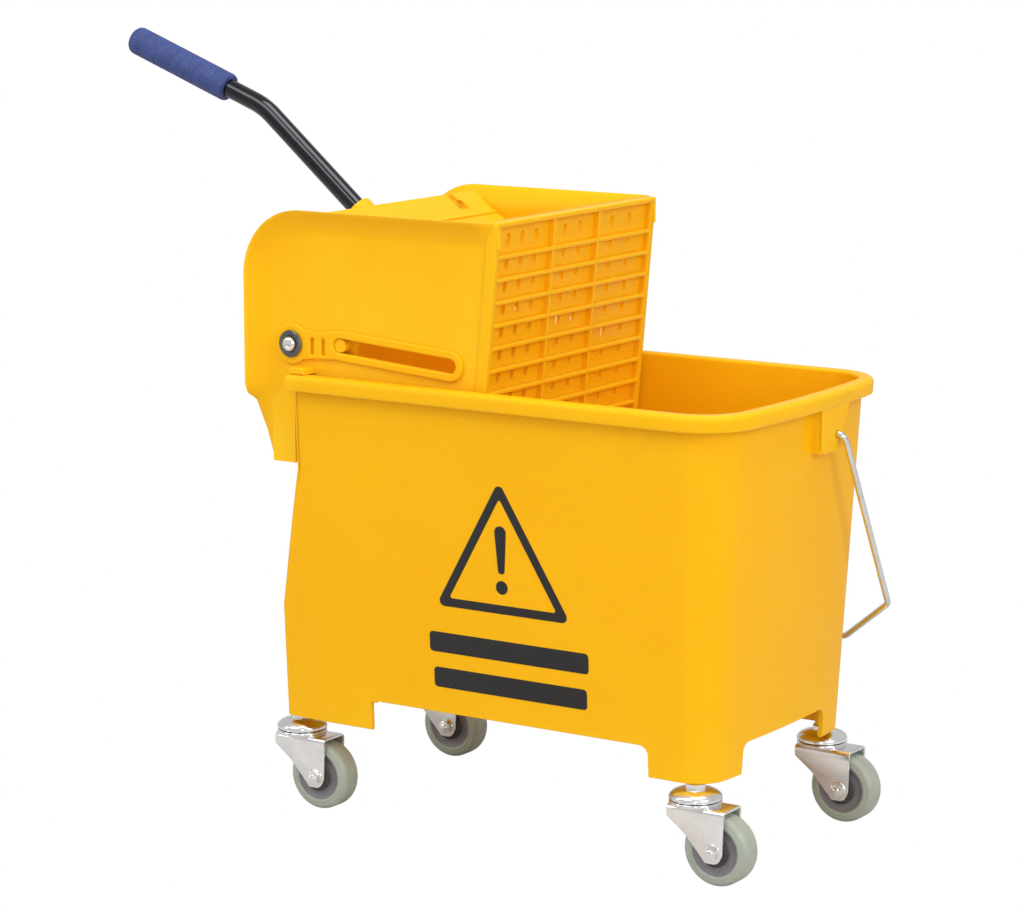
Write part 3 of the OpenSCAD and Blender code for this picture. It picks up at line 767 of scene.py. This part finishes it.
def make_sign():
    """A generic sign: a warning triangle with an exclamation mark over two plain bars."""
    border = sign_mesh([scaled_triangle(0, 4.0), scaled_triangle(6.5, 1.5)])
    stroke = [
        (SIGN_X - 2.6, 203, 2.4), (SIGN_X + 2.6, 203, 2.4),
        (SIGN_X + 5.2, 238, 4.6), (SIGN_X - 5.2, 238, 4.6),
    ]
    mark = sign_mesh([rounded_outline(stroke, 6)])
    dot = sign_mesh([arc(SIGN_X, 193, 5.0, 0, 345, 23)])
    bars = []
    for low, high, left, right in ((138.5, 153.5, -43, 92), (112, 127, -40, 90)):
        corners = [(left, low, 3), (right, low, 3), (right, high, 3), (left, high, 3)]
        bars.append(sign_mesh([rounded_outline(corners)]))
    prints = {"sign_border": border, "sign_mark": merged(mark, dot), "sign_bars": merged(*bars)}
    for name, mesh in prints.items():
        piece(name, mesh, PRINT, ROOT)


# ---------------------------------------------------------------- wringer

TOP_Z = box_mm("wringer_housing")[1].z
LOW_Z = box_mm("wringer_housing")[0].z
CHEEK_REAR_X = box_mm("wringer_housing")[0].x
CHEEK_Y = 107.5
CHEEK_T = 3.0
GRILLE_TOP_X = 17.5
GRILLE_LEAN = math.radians(5.1)
ROUND_R = 50.0
TAIL_LOW_Z = 265.0
TAIL_TURN_Z = 309.0
SLOT_LEFT_X, SLOT_RIGHT_X = -161.5, -151.0
SADDLE_Z = RIM_Z + 0.3
BAND_W = 19.0
BAND_OUT = 9.5
PIVOT = Vector((-162.0, 354.0))
PIN_REST = Vector((-119.0, 355.5))
TRAVEL = Vector((math.cos(math.radians(4.2)), -math.sin(math.radians(4.2)))) * 96.3
PIN_END = PIN_REST + TRAVEL
SLOT_R = 5.3
PAD_T = 3.0


def grille_x(z):
    return GRILLE_TOP_X - (TOP_Z - z) * math.tan(GRILLE_LEAN)


def cheek_edge():
    """Flared edge from the grille's top corner round to the tail: (x, z, inner x, inner z)."""
    rail = []
    centre = (CHEEK_REAR_X + ROUND_R, TOP_Z - ROUND_R)
    for x in (GRILLE_TOP_X, 15, 12, 9, 6, 3, 0, -8, -24, -45, -70, -95, -120, -138):
        rail.append((x, TOP_Z, x, TOP_Z - BAND_W))
    outer = arc(*centre, ROUND_R, 90, 180, 22)
    inner = arc(*centre, ROUND_R - BAND_W, 90, 180, 22)
    rail += [(a, b, c, d) for (a, b), (c, d) in zip(outer, inner)]
    for z in (385, 365, 345, 332, 322, 315):
        rail.append((CHEEK_REAR_X, z, CHEEK_REAR_X + BAND_W, z))
    rail.append((CHEEK_REAR_X + 3, TAIL_TURN_Z, CHEEK_REAR_X + BAND_W, TAIL_TURN_Z))
    rail.append((CHEEK_REAR_X + 11, 287, CHEEK_REAR_X + BAND_W, 287))
    rail.append((CHEEK_REAR_X + BAND_W - 0.5, TAIL_LOW_Z, CHEEK_REAR_X + BAND_W, TAIL_LOW_Z))
    return rail


def band_out(x, z, share):
    """Outward reach of the flared band: share runs from 0 at the cheek to 1 at its edge."""
    front = 1 - smooth_step((x - 1) / 16)
    tail = smooth_step((z - 306) / 14)
    curl = share**1.9
    inward = (1 - tail) * smooth_step((TAIL_TURN_Z + 8 - z) / 12)
    return BAND_OUT * curl * front * tail - 3.0 * share * inward


def cheek_surface(side):
    """Flat cheek with its flared band, as one closed shell with the slot cut through."""
    rail = cheek_edge()
    shares = [0, 0.12, 0.25, 0.38, 0.5, 0.62, 0.73, 0.83, 0.92, 1.0]
    verts, faces = [], []
    outer_rows, inner_rows = [], []
    for x, z, ix, iz in rail:
        outer_row, inner_row = [], []
        for share in shares:
            px, pz = ix + (x - ix) * share, iz + (z - iz) * share
            out = band_out(px, pz, share)
            thin = 0.5 if share == 1.0 else 0.0
            outer_row.append(len(verts))
            verts.append((px, side * (CHEEK_Y + out - thin), pz))
            inner_row.append(len(verts))
            verts.append((px, side * (CHEEK_Y - CHEEK_T + out + thin), pz))
        outer_rows.append(outer_row)
        inner_rows.append(inner_row)
    for rows in (outer_rows, inner_rows):
        for a, b in zip(rows, rows[1:]):
            for k in range(len(shares) - 1):
                faces.append((a[k], a[k + 1], b[k + 1], b[k]))
    last = len(shares) - 1
    for i in range(len(rail) - 1):
        faces.append(
            (outer_rows[i][last], inner_rows[i][last], inner_rows[i + 1][last], outer_rows[i + 1][last])
        )
    for i in (0, len(rail) - 1):
        for k in range(last):
            faces.append((outer_rows[i][k], outer_rows[i][k + 1], inner_rows[i][k + 1], inner_rows[i][k]))
    # The flat part shares the band's inner rail.
    outline = [(ix, iz) for _, _, ix, iz in rail]
    outline += [
        (SLOT_LEFT_X, TAIL_LOW_Z), (SLOT_LEFT_X, SADDLE_Z), (SLOT_RIGHT_X, SADDLE_Z),
        (SLOT_RIGHT_X, LOW_Z), (grille_x(LOW_Z), LOW_Z), (grille_x(350), 350),
        (grille_x(TOP_Z - BAND_W), TOP_Z - BAND_W),
    ]
    slot = slot_outline(SLOT_R + 0.6)
    flat_verts, flat_faces = fill(outline, [slot])
    for y, flip in ((CHEEK_Y, False), (CHEEK_Y - CHEEK_T, True)):
        start = len(verts)
        verts += [(x, side * y, z) for x, z in flat_verts]
        faces += [tuple(start + i for i in (reversed(f) if flip else f)) for f in flat_faces]
    for loop in (outline[len(rail) - 1:] + [outline[0]], slot + [slot[0]]):
        for (x0, z0), (x1, z1) in zip(loop, loop[1:]):
            start = len(verts)
            for x, z in ((x0, z0), (x1, z1)):
                verts.append((x, side * CHEEK_Y, z))
                verts.append((x, side * (CHEEK_Y - CHEEK_T), z))
            faces.append((start, start + 1, start + 3, start + 2))
    return mesh_from(verts, faces)


def fill(outline, holes):
    """Triangles of an outline with holes: (points, faces)."""
    points, edges = [], []
    for loop in (outline, *holes):
        start = len(points)
        points += [Vector(p) for p in loop]
        edges += [(start + i, start + (i + 1) % len(loop)) for i in range(len(loop))]
    result = geometry.delaunay_2d_cdt(points, edges, [], 2, 1e-6)
    verts, faces = result[0], result[2]

    def inside(point, loop):
        hit = False
        for (x0, y0), (x1, y1) in zip(loop, loop[1:] + loop[:1]):
            if (y0 > point[1]) != (y1 > point[1]):
                if point[0] < (x1 - x0) * (point[1] - y0) / (y1 - y0) + x0:
                    hit = not hit
        return hit

    kept = []
    for face in faces:
        centre = sum((verts[i] for i in face), Vector((0, 0))) / len(face)
        if inside(centre, outline) and not any(inside(centre, hole) for hole in holes):
            kept.append(face)
    return [tuple(v) for v in verts], kept


def slot_outline(radius):
    """Outline of the guide slot, from the pin's rest to the end of its travel."""
    lean = math.degrees(math.atan2(TRAVEL.y, TRAVEL.x))
    left = arc(PIN_REST.x, PIN_REST.y, radius, lean + 90, lean + 270, 14)
    return left + arc(PIN_END.x, PIN_END.y, radius, lean - 90, lean + 90, 14)


def pad_outline():
    """Outline of the raised pad: a disc at the pivot, a waist, and the bead round the slot."""
    lean = math.degrees(math.atan2(TRAVEL.y, TRAVEL.x))
    along = TRAVEL.normalized()
    up = Vector((-along.y, along.x))
    bead = SLOT_R + 5.9
    points = arc(PIVOT.x, PIVOT.y, 15.2, 48, 312, 26)
    points += [tuple(PIVOT + Vector(p)) for p in ((17, -10.4), (24, -9.9), (31, -9.9))]
    points.append(tuple(PIN_REST + along * -3 - up * (bead - 0.3)))
    points.append(tuple(PIN_REST + along * 5 - up * bead))
    points += arc(PIN_END.x, PIN_END.y, bead, lean - 90, lean + 90, 18)
    points.append(tuple(PIN_REST + along * 5 + up * bead))
    points.append(tuple(PIN_REST + along * -3 + up * (bead - 0.3)))
    points += [tuple(PIVOT + Vector(p)) for p in ((31, 10.6), (24, 10.0), (17, 10.6))]
    return points


def slit(x):
    """Narrow upright slit through the pad, x from the pivot."""
    z = PIVOT.y - 0.8
    left, right = PIVOT.x + x - 1.5, PIVOT.x + x + 1.5
    return rounded_outline([(left, z - 6, 1), (right, z - 6, 1), (right, z + 6, 1), (left, z + 6, 1)], 3)


def cheek_pad(side):
    """Raised pad with a round bead along the slot and two slits."""
    low, high = sorted((side * (CHEEK_Y - 0.6), side * (CHEEK_Y + PAD_T)))
    bolt_hole = arc(PIVOT.x, PIVOT.y, 6.0, 0, 345, 23)
    loops = [pad_outline(), slot_outline(SLOT_R), slit(18.5), slit(28.5), bolt_hole]
    return plate(loops, low, high, 1.45, "Y", 4)


def slit_floor(side):
    """Closes the slits just behind the pad, as the moulding does."""
    y = side * (CHEEK_Y - CHEEK_T / 2)
    return block((PIVOT.x + 14, y - 1, PIVOT.y - 9), (PIVOT.x + 33, y + 1, PIVOT.y + 9), 0.3)


GRILLE_ROWS = 10
GRILLE_TOP_ROW = 27.0
GRILLE_PITCH = 16.4
GRILLE_RIB = 3.0
GRILLE_DEPTH = 8.0
GRILLE_PANEL = 3.0
# Left edge, right edge and number of slots across.
GRILLE_COLUMNS = ((-103.5, -31, 3), (-31, 30, 2), (30, 103.5, 2))


def grille_slots(tall):
    """Drain slots as (y, low, high), row by row."""
    slots = []
    for left, right, count in GRILLE_COLUMNS:
        for row in range(GRILLE_ROWS):
            rib_top = tall - GRILLE_TOP_ROW - row * GRILLE_PITCH + GRILLE_RIB
            height = 10.0 if row == 0 else 8.6
            for k in range(1, count + 1):
                y = left + k * (right - left) / (count + 1)
                low = rib_top + (4.0 if row == 0 else 13.0 - height)
                slots.append((y, low, low + height))
    return slots


def grille_mesh():
    """Slotted panel with ribs that stand proud of it, in its own frame, then leant into place."""
    tall = (TOP_Z - LOW_Z) / math.cos(GRILLE_LEAN)
    half = CHEEK_Y - 0.5
    holes = []
    for y, low, high in grille_slots(tall):
        corners = [(y - 2.5, low, 2.0), (y + 2.5, low, 2.0), (y + 2.5, high, 2.0), (y - 2.5, high, 2.0)]
        holes.append(rounded_outline(corners, 3))
    frame_outline = [(-half, 0), (half, 0), (half, tall), (-half, tall)]
    parts = [plate([frame_outline, *holes], 0, GRILLE_PANEL, 0.35, "X", 1)]
    for row in range(GRILLE_ROWS):
        low = tall - GRILLE_TOP_ROW - row * GRILLE_PITCH
        parts.append(block((0.5, -half, low), (GRILLE_DEPTH, half, low + GRILLE_RIB), 0.7, 3))
    for y in (GRILLE_COLUMNS[0][1], GRILLE_COLUMNS[1][1]):
        parts.append(block((0.5, y - 1.6, 0), (GRILLE_DEPTH - 0.2, y + 1.6, tall - 1), 0.7, 3))
    parts.append(block((-0.5, -half - 0.4, tall - 4), (GRILLE_DEPTH + 0.6, half + 0.4, tall), 1.1, 3))
    for side in (-1, 1):
        low, high = sorted((side * (CHEEK_Y - 5), side * (CHEEK_Y + 1.3)))
        parts.append(block((-1.5, low, 0), (GRILLE_DEPTH + 0.3, high, tall - 0.3), 2.2, 4))
    whole = merged(*parts)
    lean = Matrix.Rotation(GRILLE_LEAN, 4, "Y")
    back = Matrix.Translation(Vector((-GRILLE_DEPTH, 0, -tall)) * MM)
    place = Matrix.Translation(Vector((GRILLE_TOP_X, 0, TOP_Z)) * MM)
    return moved(whole, place @ lean @ back)


def wringer_base():
    """Slotted floor, low rear wall, saddle over the bucket's wall and the humps on the rims."""
    inner = CHEEK_Y - CHEEK_T
    front = grille_x(LOW_Z) - 3
    outline = [(SLOT_RIGHT_X, -inner), (front, -inner), (front, inner), (SLOT_RIGHT_X, inner)]
    holes = []
    x = SLOT_RIGHT_X + 12
    while x < front - 16:
        for y in range(-88, 89, 22):
            holes.append([(x, y - 2), (x + 9, y - 2), (x + 9, y + 2), (x, y + 2)])
        x += 16
    parts = [plate([outline, *holes], LOW_Z, LOW_Z + CHEEK_T, 0.4, "Z", 1)]
    parts.append(block((SLOT_RIGHT_X, -inner, LOW_Z), (SLOT_RIGHT_X + CHEEK_T, inner, SADDLE_Z + 3), 0.5))
    parts.append(block((SLOT_LEFT_X - 3, -inner, SADDLE_Z), (SLOT_RIGHT_X + 3, inner, SADDLE_Z + 3), 0.9))
    for side in (-1, 1):
        hump = arc(-150, SADDLE_Z, 7.4, 0, 180, 16)
        hump = [(x, SADDLE_Z + min(z - SADDLE_Z, 4.9)) for x, z in hump]
        low, high = sorted((side * (inner + 0.5), side * 122))
        parts.append(plate([hump], low, high, 0.8, "Y", 2))
    return parts


def make_wringer():
    parts = [grille_mesh(), *wringer_base()]
    for side in (-1, 1):
        parts += [cheek_surface(side), cheek_pad(side), slit_floor(side)]
    replaces = ("wringer_housing",)
    weighted(piece("wringer_shell", merged(*parts), YELLOW, WRINGER, replaces, 34.0))


# ---------------------------------------------------------------- press, lever and bail


LEDGE = Vector((-121.8, 434.2))
PRESS_HALF_W = 101.0
BEAD_R = 1.5


def make_press():
    """Softened press plate, with a bead along the bend below its top edge."""
    softened("press_plate", 0.9, "yellow_plastic", segments=3)
    ends = [(LEDGE.x, side * (PRESS_HALF_W - BEAD_R), LEDGE.y) for side in (-1, 1)]
    piece("press_ledge", tube_along(ends, BEAD_R, 20), YELLOW, PRESS)


TUBE_LOW = Vector((-160.0, 0, 425.2))
TUBE_BEND = Vector((-267.5, 0, 515.5))
GRIP_END = Vector((-389.0, 0, 561.6))
TUBE_R = 7.2
GRIP_R = 11.0
GRIP_LEN = 94.0


def make_lever():
    grip_dir = (GRIP_END - TUBE_BEND).normalized()
    path = rounded_path([TUBE_LOW, TUBE_BEND, GRIP_END - grip_dir * 0.5], 60.0, 18)
    tube = tube_along(path, TUBE_R, 48)
    piece("lever_tube", tube, CHROME, LEVER, ("handle_tube", "tube_plug"))
    end = GRIP_END + grip_dir * 4
    length = GRIP_LEN + 4
    profile = [(0, 0), (0, GRIP_R - 3.2), (0.5, GRIP_R - 1.6), (1.8, GRIP_R - 0.5), (3.8, GRIP_R)]
    first_ring, rings, pitch = 12.0, 10, 8.0
    for k in range(rings):
        start = first_ring + k * pitch
        for step, dip in ((0, 0), (0.5, 0.3), (1.1, 0.3), (1.6, 0)):
            profile.append((start + step, GRIP_R - dip))
    profile += [
        (length - 2.4, GRIP_R), (length - 0.9, GRIP_R - 0.5), (length, GRIP_R - 1.6),
        (length, TUBE_R - 0.2), (length - 6, TUBE_R - 0.2), (length - 6, 0),
    ]
    grip = lathe(profile, end, -grip_dir, 96)
    piece("lever_grip", grip, GRIP, LEVER, ("handle_grip",), 60.0)
    for node in ("yoke_head", "yoke_arm_left", "yoke_arm_right"):
        softened(node, 0.8, "yellow_plastic")
    for node in ("drive_rod", "rod_end_clips", "tube_screws", "pivot_nuts"):
        softened(node, 0.25, "zinc_steel")


def pivot_hardware():
    """Dished dark washer and a bright round-headed bolt with a socket, on both cheeks."""
    face = CHEEK_Y + PAD_T
    washers, bolts = [], []
    for side in (-1, 1):
        out = (0, side, 0)
        washer = [
            (0.3, 4.0), (0.3, 9.6), (0.8, 10.0), (1.4, 10.0),
            (2.1, 9.2), (2.1, 6.6), (1.5, 5.9), (1.5, 4.0),
        ]
        washers.append(lathe(washer, (PIVOT.x, side * face, PIVOT.y), out, 64))
        head = [
            (-21.5, 0), (-21.5, 3.8), (-21, 4.0), (1.6, 4.0), (1.6, 5.0), (2.2, 5.4), (3.5, 5.3),
            (4.4, 4.6), (5.0, 3.7), (5.2, 2.9), (5.0, 2.4), (3.4, 2.2), (3.2, 0),
        ]
        bolts.append(lathe(head, (PIVOT.x, side * face, PIVOT.y), out, 64))
    piece("washer_dished", merged(*washers), WASHER, LEVER, ("pivot_washers",))
    piece("bolt_round", merged(*bolts), ZINC, LEVER, ("pivot_bolts",))


BAIL_FRONT_X, BAIL_REAR_X = 219.0, -209.0
BAIL_HANG = math.radians(28.6)
BAIL_LEG, BAIL_REACH, BAIL_STEP = 155.5, 194.0, 44.0
BAIL_R = 2.3


def make_bail():
    """Bent wire through both lugs, hanging to the far side of the front lug."""
    corners = [
        (LUG_FACE_X - 5, 0), (BAIL_FRONT_X, 0), (BAIL_FRONT_X, BAIL_LEG),
        (BAIL_FRONT_X - BAIL_STEP, BAIL_REACH), (BAIL_REAR_X + BAIL_STEP, BAIL_REACH),
        (BAIL_REAR_X, BAIL_LEG), (BAIL_REAR_X, 0), (REAR_TOP_X - 5, 0),
    ]
    lean, drop = math.sin(BAIL_HANG), math.cos(BAIL_HANG)
    points = [(x, LUG_Y + reach * lean, LUG_Z - reach * drop) for x, reach in corners]
    wire = tube_along(rounded_path(points, 5.8, 10), BAIL_R, 28)
    piece("bail_rod", wire, WIRE, BAIL, ("bail_wire",))


# ---------------------------------------------------------------- casters

AXLE_Z = 25.5
TRAIL = 20.8
WHEEL_R = 25.5
WHEEL_HALF_W = 9.5
FORK_TOP_Z = 55.5
FORK_HALF_W = 13.0
FORK_T = 2.0
SHEET_LAP = 0.05
FORK_SIDE_TOP_Z = FORK_TOP_Z - 4.5
RACE_R = 18.75
RACE_TOP_Z = 62.6
RACE_LOW_Z = 58.6


def swivel_axis(name):
    low, high = box_mm("caster_stem_" + name)
    centre = (low + high) / 2
    return centre.x, centre.y


def tyre_profile():
    """Tyre section with round shoulders and two faint moulding grooves on each side."""
    half = []
    for along, radius in (
        (8.6, 17.6), (9.0, 18.0), (9.4, 18.6), (9.5, 19.6), (9.45, 20.4), (9.25, 20.7), (9.2, 21.1),
    ):
        half.append((along, radius))
    half += [(a, r) for r, a in arc(WHEEL_R - 4.2, WHEEL_HALF_W - 4.4, 4.2, 82, 0, 9)]
    half.append((3.0, WHEEL_R))
    return half + [(-a, r) for a, r in reversed(half)]


def hub_profile():
    half = [
        (8.9, 4.7), (9.2, 5.2), (9.2, 8.6), (8.7, 9.2), (7.9, 9.6), (7.5, 10.4), (7.5, 13.2),
        (7.7, 15.4), (8.3, 16.6), (9.0, 17.3), (9.0, 18.1),
    ]
    return half + [(-a, r) for a, r in reversed(half)]


def dust_ring_profile(side):
    """Black seal that stands between hub and fork."""
    points = [(9.3, 6.9), (10.2, 6.9), (10.6, 7.4), (10.6, 10.5), (10.1, 11.2), (9.3, 11.2)]
    return [(side * a, r) for a, r in points]


def fork_side_outline():
    """Stamped side of the fork: upright front edge, slanted rear edge, round axle boss."""
    return rounded_outline(
        [
            (-16, FORK_SIDE_TOP_Z, 0), (-16, 47.0, 3.0), (-2, 36.5, 4), (12.5, 20.5, 3),
            (15.0, 17.3, 2.5), (TRAIL + 4.6, 17.3, 6.5), (28.9, 24.5, 5), (29.5, FORK_SIDE_TOP_Z, 0),
        ],
        6,
    )


def bent_top():
    """Top of the fork with its long edges rolled down into the sides."""
    outer, inner, drop = 3.5, 1.4, FORK_TOP_Z - 6.5
    half = FORK_HALF_W + SHEET_LAP
    right = half - outer
    top = FORK_TOP_Z - outer
    section = [(half, drop)]
    section += arc(right, top, outer, 0, 90, 7)
    section += arc(-right, top, outer, 90, 180, 7)
    thick = FORK_T + 2 * SHEET_LAP
    section += [(-half, drop), (-half + thick, drop)]
    section += arc(-right, top, inner, 180, 90, 7)
    section += arc(right, top, inner, 90, 0, 7)
    section += [(half - thick, drop)]
    return plate([section], -16, 29.5, 0.35, "X", 1)


def upper_race():
    """Domed cup under the foot, with a skirt round the balls."""
    return [
        (RACE_TOP_Z - 1.6, 4.3), (RACE_TOP_Z + 3.6, 4.3), (RACE_TOP_Z + 3.8, 8.6),
        (RACE_TOP_Z + 3.2, 11.0), (RACE_TOP_Z + 2.2, 14.2), (RACE_TOP_Z + 1.0, 16.6),
        (RACE_TOP_Z - 0.6, 18.2), (RACE_TOP_Z - 1.8, RACE_R), (RACE_LOW_Z + 0.6, RACE_R),
        (RACE_LOW_Z + 0.2, 18.3), (RACE_LOW_Z + 0.3, 17.4), (RACE_TOP_Z - 2.2, 17.0),
        (RACE_TOP_Z - 1.7, 14.0),
    ]


def lower_race():
    """Rounded disc on the fork's top, just below the upper race."""
    return [
        (FORK_TOP_Z - 0.6, 4.3), (FORK_TOP_Z - 0.6, 17.6), (FORK_TOP_Z + 0.2, 18.5),
        (FORK_TOP_Z + 1.2, RACE_R), (RACE_LOW_Z - 1.1, 18.6), (RACE_LOW_Z - 0.5, 18.0),
        (RACE_LOW_Z - 0.4, 17.2), (RACE_LOW_Z - 0.4, 4.3),
    ]


def thread(start, end, pitch=0.6):
    """Profile of a bolt's threaded tip, from start to end along its axis."""
    points = [(start, 0), (start, 2.2)]
    along = start + pitch
    while along < end:
        points += [(along, 3.0), (along + pitch / 2, 2.6)]
        along += pitch
    return points


UP, NEAR, FAR = (0, 0, 1), (0, -1, 0), (0, 1, 0)


def make_wheel(name, axle):
    """Tyre and hub, and the seals and sleeve that stay with the fork."""
    wheel = "wheel_" + name
    tyre = lathe(tyre_profile(), axle, NEAR, 112)
    piece("tyre_round_" + name, tyre, TYRE, wheel, ("tyre_" + name,), 50.0)
    hub = lathe(hub_profile(), axle, NEAR, 96)
    piece("hub_disc_" + name, hub, HUB, wheel, ("wheel_hub_" + name,), 50.0)
    rings = [lathe(dust_ring_profile(side), axle, NEAR, 64) for side in (-1, 1)]
    sleeve = lathe([(-11, 3.1), (-11, 4.6), (11, 4.6), (11, 3.1)], axle, NEAR, 40)
    seals = merged(*rings, sleeve)
    piece("seal_rings_" + name, seals, DUST, "swivel_" + name, ("axle_sleeve_" + name,))


def make_fork(name, x, y):
    """Stamped fork with its rolled top and its lower race."""
    bolt_hole = arc(TRAIL, AXLE_Z, 3.1, 0, 345, 23)
    sides = []
    for side in (-1, 1):
        low, high = sorted((side * FORK_HALF_W, side * (FORK_HALF_W - FORK_T)))
        sides.append(plate([fork_side_outline(), bolt_hole], low, high, 0.4, "Y", 2))
    fork = moved(merged(*sides, bent_top()), Matrix.Translation(Vector((x, y, 0)) * MM))
    whole = merged(fork, lathe(lower_race(), (x, y, 0), UP, 88))
    piece("fork_stamped_" + name, whole, ZINC, "swivel_" + name, ("fork_" + name,))


def make_stem(name, x, y):
    """Upper race, and the stem with its hexagon above and its riveted end below."""
    cup = lathe(upper_race(), (x, y, 0), UP, 88)
    piece("race_cup_" + name, cup, ZINC, ROOT, ("top_race_" + name,))
    hexed = hexagon(13.4, (x, y, RACE_TOP_Z), UP, FOOT_Z - RACE_TOP_Z - 0.1)
    rivet = [(51.3, 0), (51.3, 6.6), (51.7, 7.0), (53.1, 7.0), (53.1, 4.0), (90, 4.0), (90, 0)]
    stem = merged(hexed, lathe(rivet, (x, y, 0), UP, 48))
    piece("stem_hex_" + name, stem, ZINC, ROOT, ("caster_stem_" + name,))


def make_axle(name, axle):
    """Bolt with a flanged hexagon and threaded tip on the near side, and a nut on the far side."""
    swivel = "swivel_" + name
    x, y, z = axle
    flange = [(0, 0), (0, 5.9), (0.3, 6.1), (0.8, 6.1), (1.1, 5.8), (1.1, 0)]
    tip = thread(-FORK_HALF_W - 5.4, -FORK_HALF_W - 3.6)
    head = [
        lathe(flange, (x, y - FORK_HALF_W, z), NEAR, 48),
        hexagon(9.4, (x, y - FORK_HALF_W - 1.1, z), NEAR, 2.9, 0, 0.7),
        lathe([*tip, (17, 3.0), (17, 0)], axle, FAR, 40),
    ]
    piece("axle_head_" + name, merged(*head), ZINC, swivel, ("axle_bolt_" + name,))
    nut = hexagon(9.4, (x, y + FORK_HALF_W, z), FAR, 3.2, 3.0, 0.6)
    piece("axle_hexnut_" + name, nut, ZINC, swivel, ("axle_nut_" + name,))


def make_caster(name):
    """One swivel caster. Its ball ring stays the CAD's own mesh and only gets a material."""
    x, y = swivel_axis(name)
    axle = (x + TRAIL, y, AXLE_Z)
    make_wheel(name, axle)
    make_fork(name, x, y)
    make_stem(name, x, y)
    make_axle(name, axle)
    ring = frame["nodes"]["ball_ring_" + name]
    ring.data.materials.clear()
    ring.data.materials.append(WASHER)


# ---------------------------------------------------------------- stage


def stage_material(name, colour, glow):
    """Plain studio surface whose tone drifts a little; glow is its emission."""
    material, tree, shader = new_material(name)
    drift = spread(tree, noise(tree, 0.8, 2.0), 0.0, 1.0)
    paler = tuple(min(c * 1.04, 1.0) for c in colour)
    tree.links.new(mix_colour(tree, drift, colour, paler), shader.inputs["Base Color"])
    set_inputs(shader, {"Roughness": 0.9, "Specular IOR Level": 0.0})
    set_inputs(shader, {"Emission Color": (1, 1, 1, 1), "Emission Strength": glow})
    return material


def stage_piece(name, mesh, material):
    mesh.materials.append(material)
    made = add_object(name, mesh)
    return made


def studio():
    """Grey floor that only bounces light, and a white dome that only the camera sees."""
    reach = 12.0
    corners = [(-reach, -reach, 0), (reach, -reach, 0), (reach, reach, 0), (-reach, reach, 0)]
    mesh = bpy.data.meshes.new("floor")
    mesh.from_pydata(corners, [], [(0, 1, 2, 3)])
    ground = stage_piece("floor", mesh, stage_material("studio_floor", (0.62, 0.62, 0.62), 0.0))
    ground.visible_camera = False
    bm = bmesh.new()
    bmesh.ops.create_icosphere(bm, subdivisions=3, radius=60.0)
    dome = stage_piece("dome", mesh_of(bm, "dome"), stage_material("studio_white", (0.0, 0.0, 0.0), 1.0))
    dome.visible_diffuse = False
    dome.visible_glossy = False
    dome.visible_transmission = False
    dome.visible_shadow = False


def soft_light(name, place, target, size, power):
    data = bpy.data.lights.new(name, "AREA")
    data.shape = "RECTANGLE"
    data.size, data.size_y = size
    data.energy = power
    made = add_object(name, data)
    made.location = place
    made.rotation_mode = "QUATERNION"
    made.rotation_quaternion = (Vector(target) - Vector(place)).to_track_quat("-Z", "Y")


def lighting():
    """Even light all round, three large soft lights and two narrow strips for the metal."""
    world = bpy.data.worlds.new("studio")
    world.use_nodes = True
    set_inputs(world.node_tree.nodes["Background"], {"Color": (1, 1, 1, 1), "Strength": 0.56})
    bpy.context.scene.world = world
    centre = (0, 0, 0.25)
    soft_light("key", (-0.6, -2.0, 2.7), centre, (1.6, 1.4), 23)
    soft_light("side", (2.6, -0.9, 1.5), centre, (1.2, 1.6), 27)
    soft_light("top", (0.5, -0.1, 2.8), centre, (1.4, 1.4), 27)
    soft_light("strip_left", (-2.0, -1.6, 1.3), centre, (0.07, 1.8), 8)
    soft_light("strip_right", (1.5, -2.4, 1.0), centre, (0.07, 1.6), 8)


def camera():
    """The photographer's place: left of the pouring end, a little above the rim, on a long lens."""
    azimuth, elevation = math.radians(33.04), math.radians(10.24)
    distance = 2.4911
    target = Vector((-0.0413, 0.0, 0.26632))
    level_reach = math.cos(elevation)
    back = Vector(
        (math.sin(azimuth) * level_reach, -math.cos(azimuth) * level_reach, math.sin(elevation))
    )
    data = bpy.data.cameras.new("camera")
    data.lens = 117.8
    data.sensor_width = 36.0
    data.clip_end = 200.0
    made = add_object("camera", data)
    made.location = target + back * distance
    made.rotation_mode = "QUATERNION"
    made.rotation_quaternion = (-back).to_track_quat("-Z", "Y")
    bpy.context.scene.camera = made


make_bucket()
make_sign()
make_wringer()
make_press()
make_lever()
pivot_hardware()
make_bail()
for caster in CASTERS:
    make_caster(caster)
studio()
lighting()
camera()
bpy.context.scene.view_settings.view_transform = "Standard"
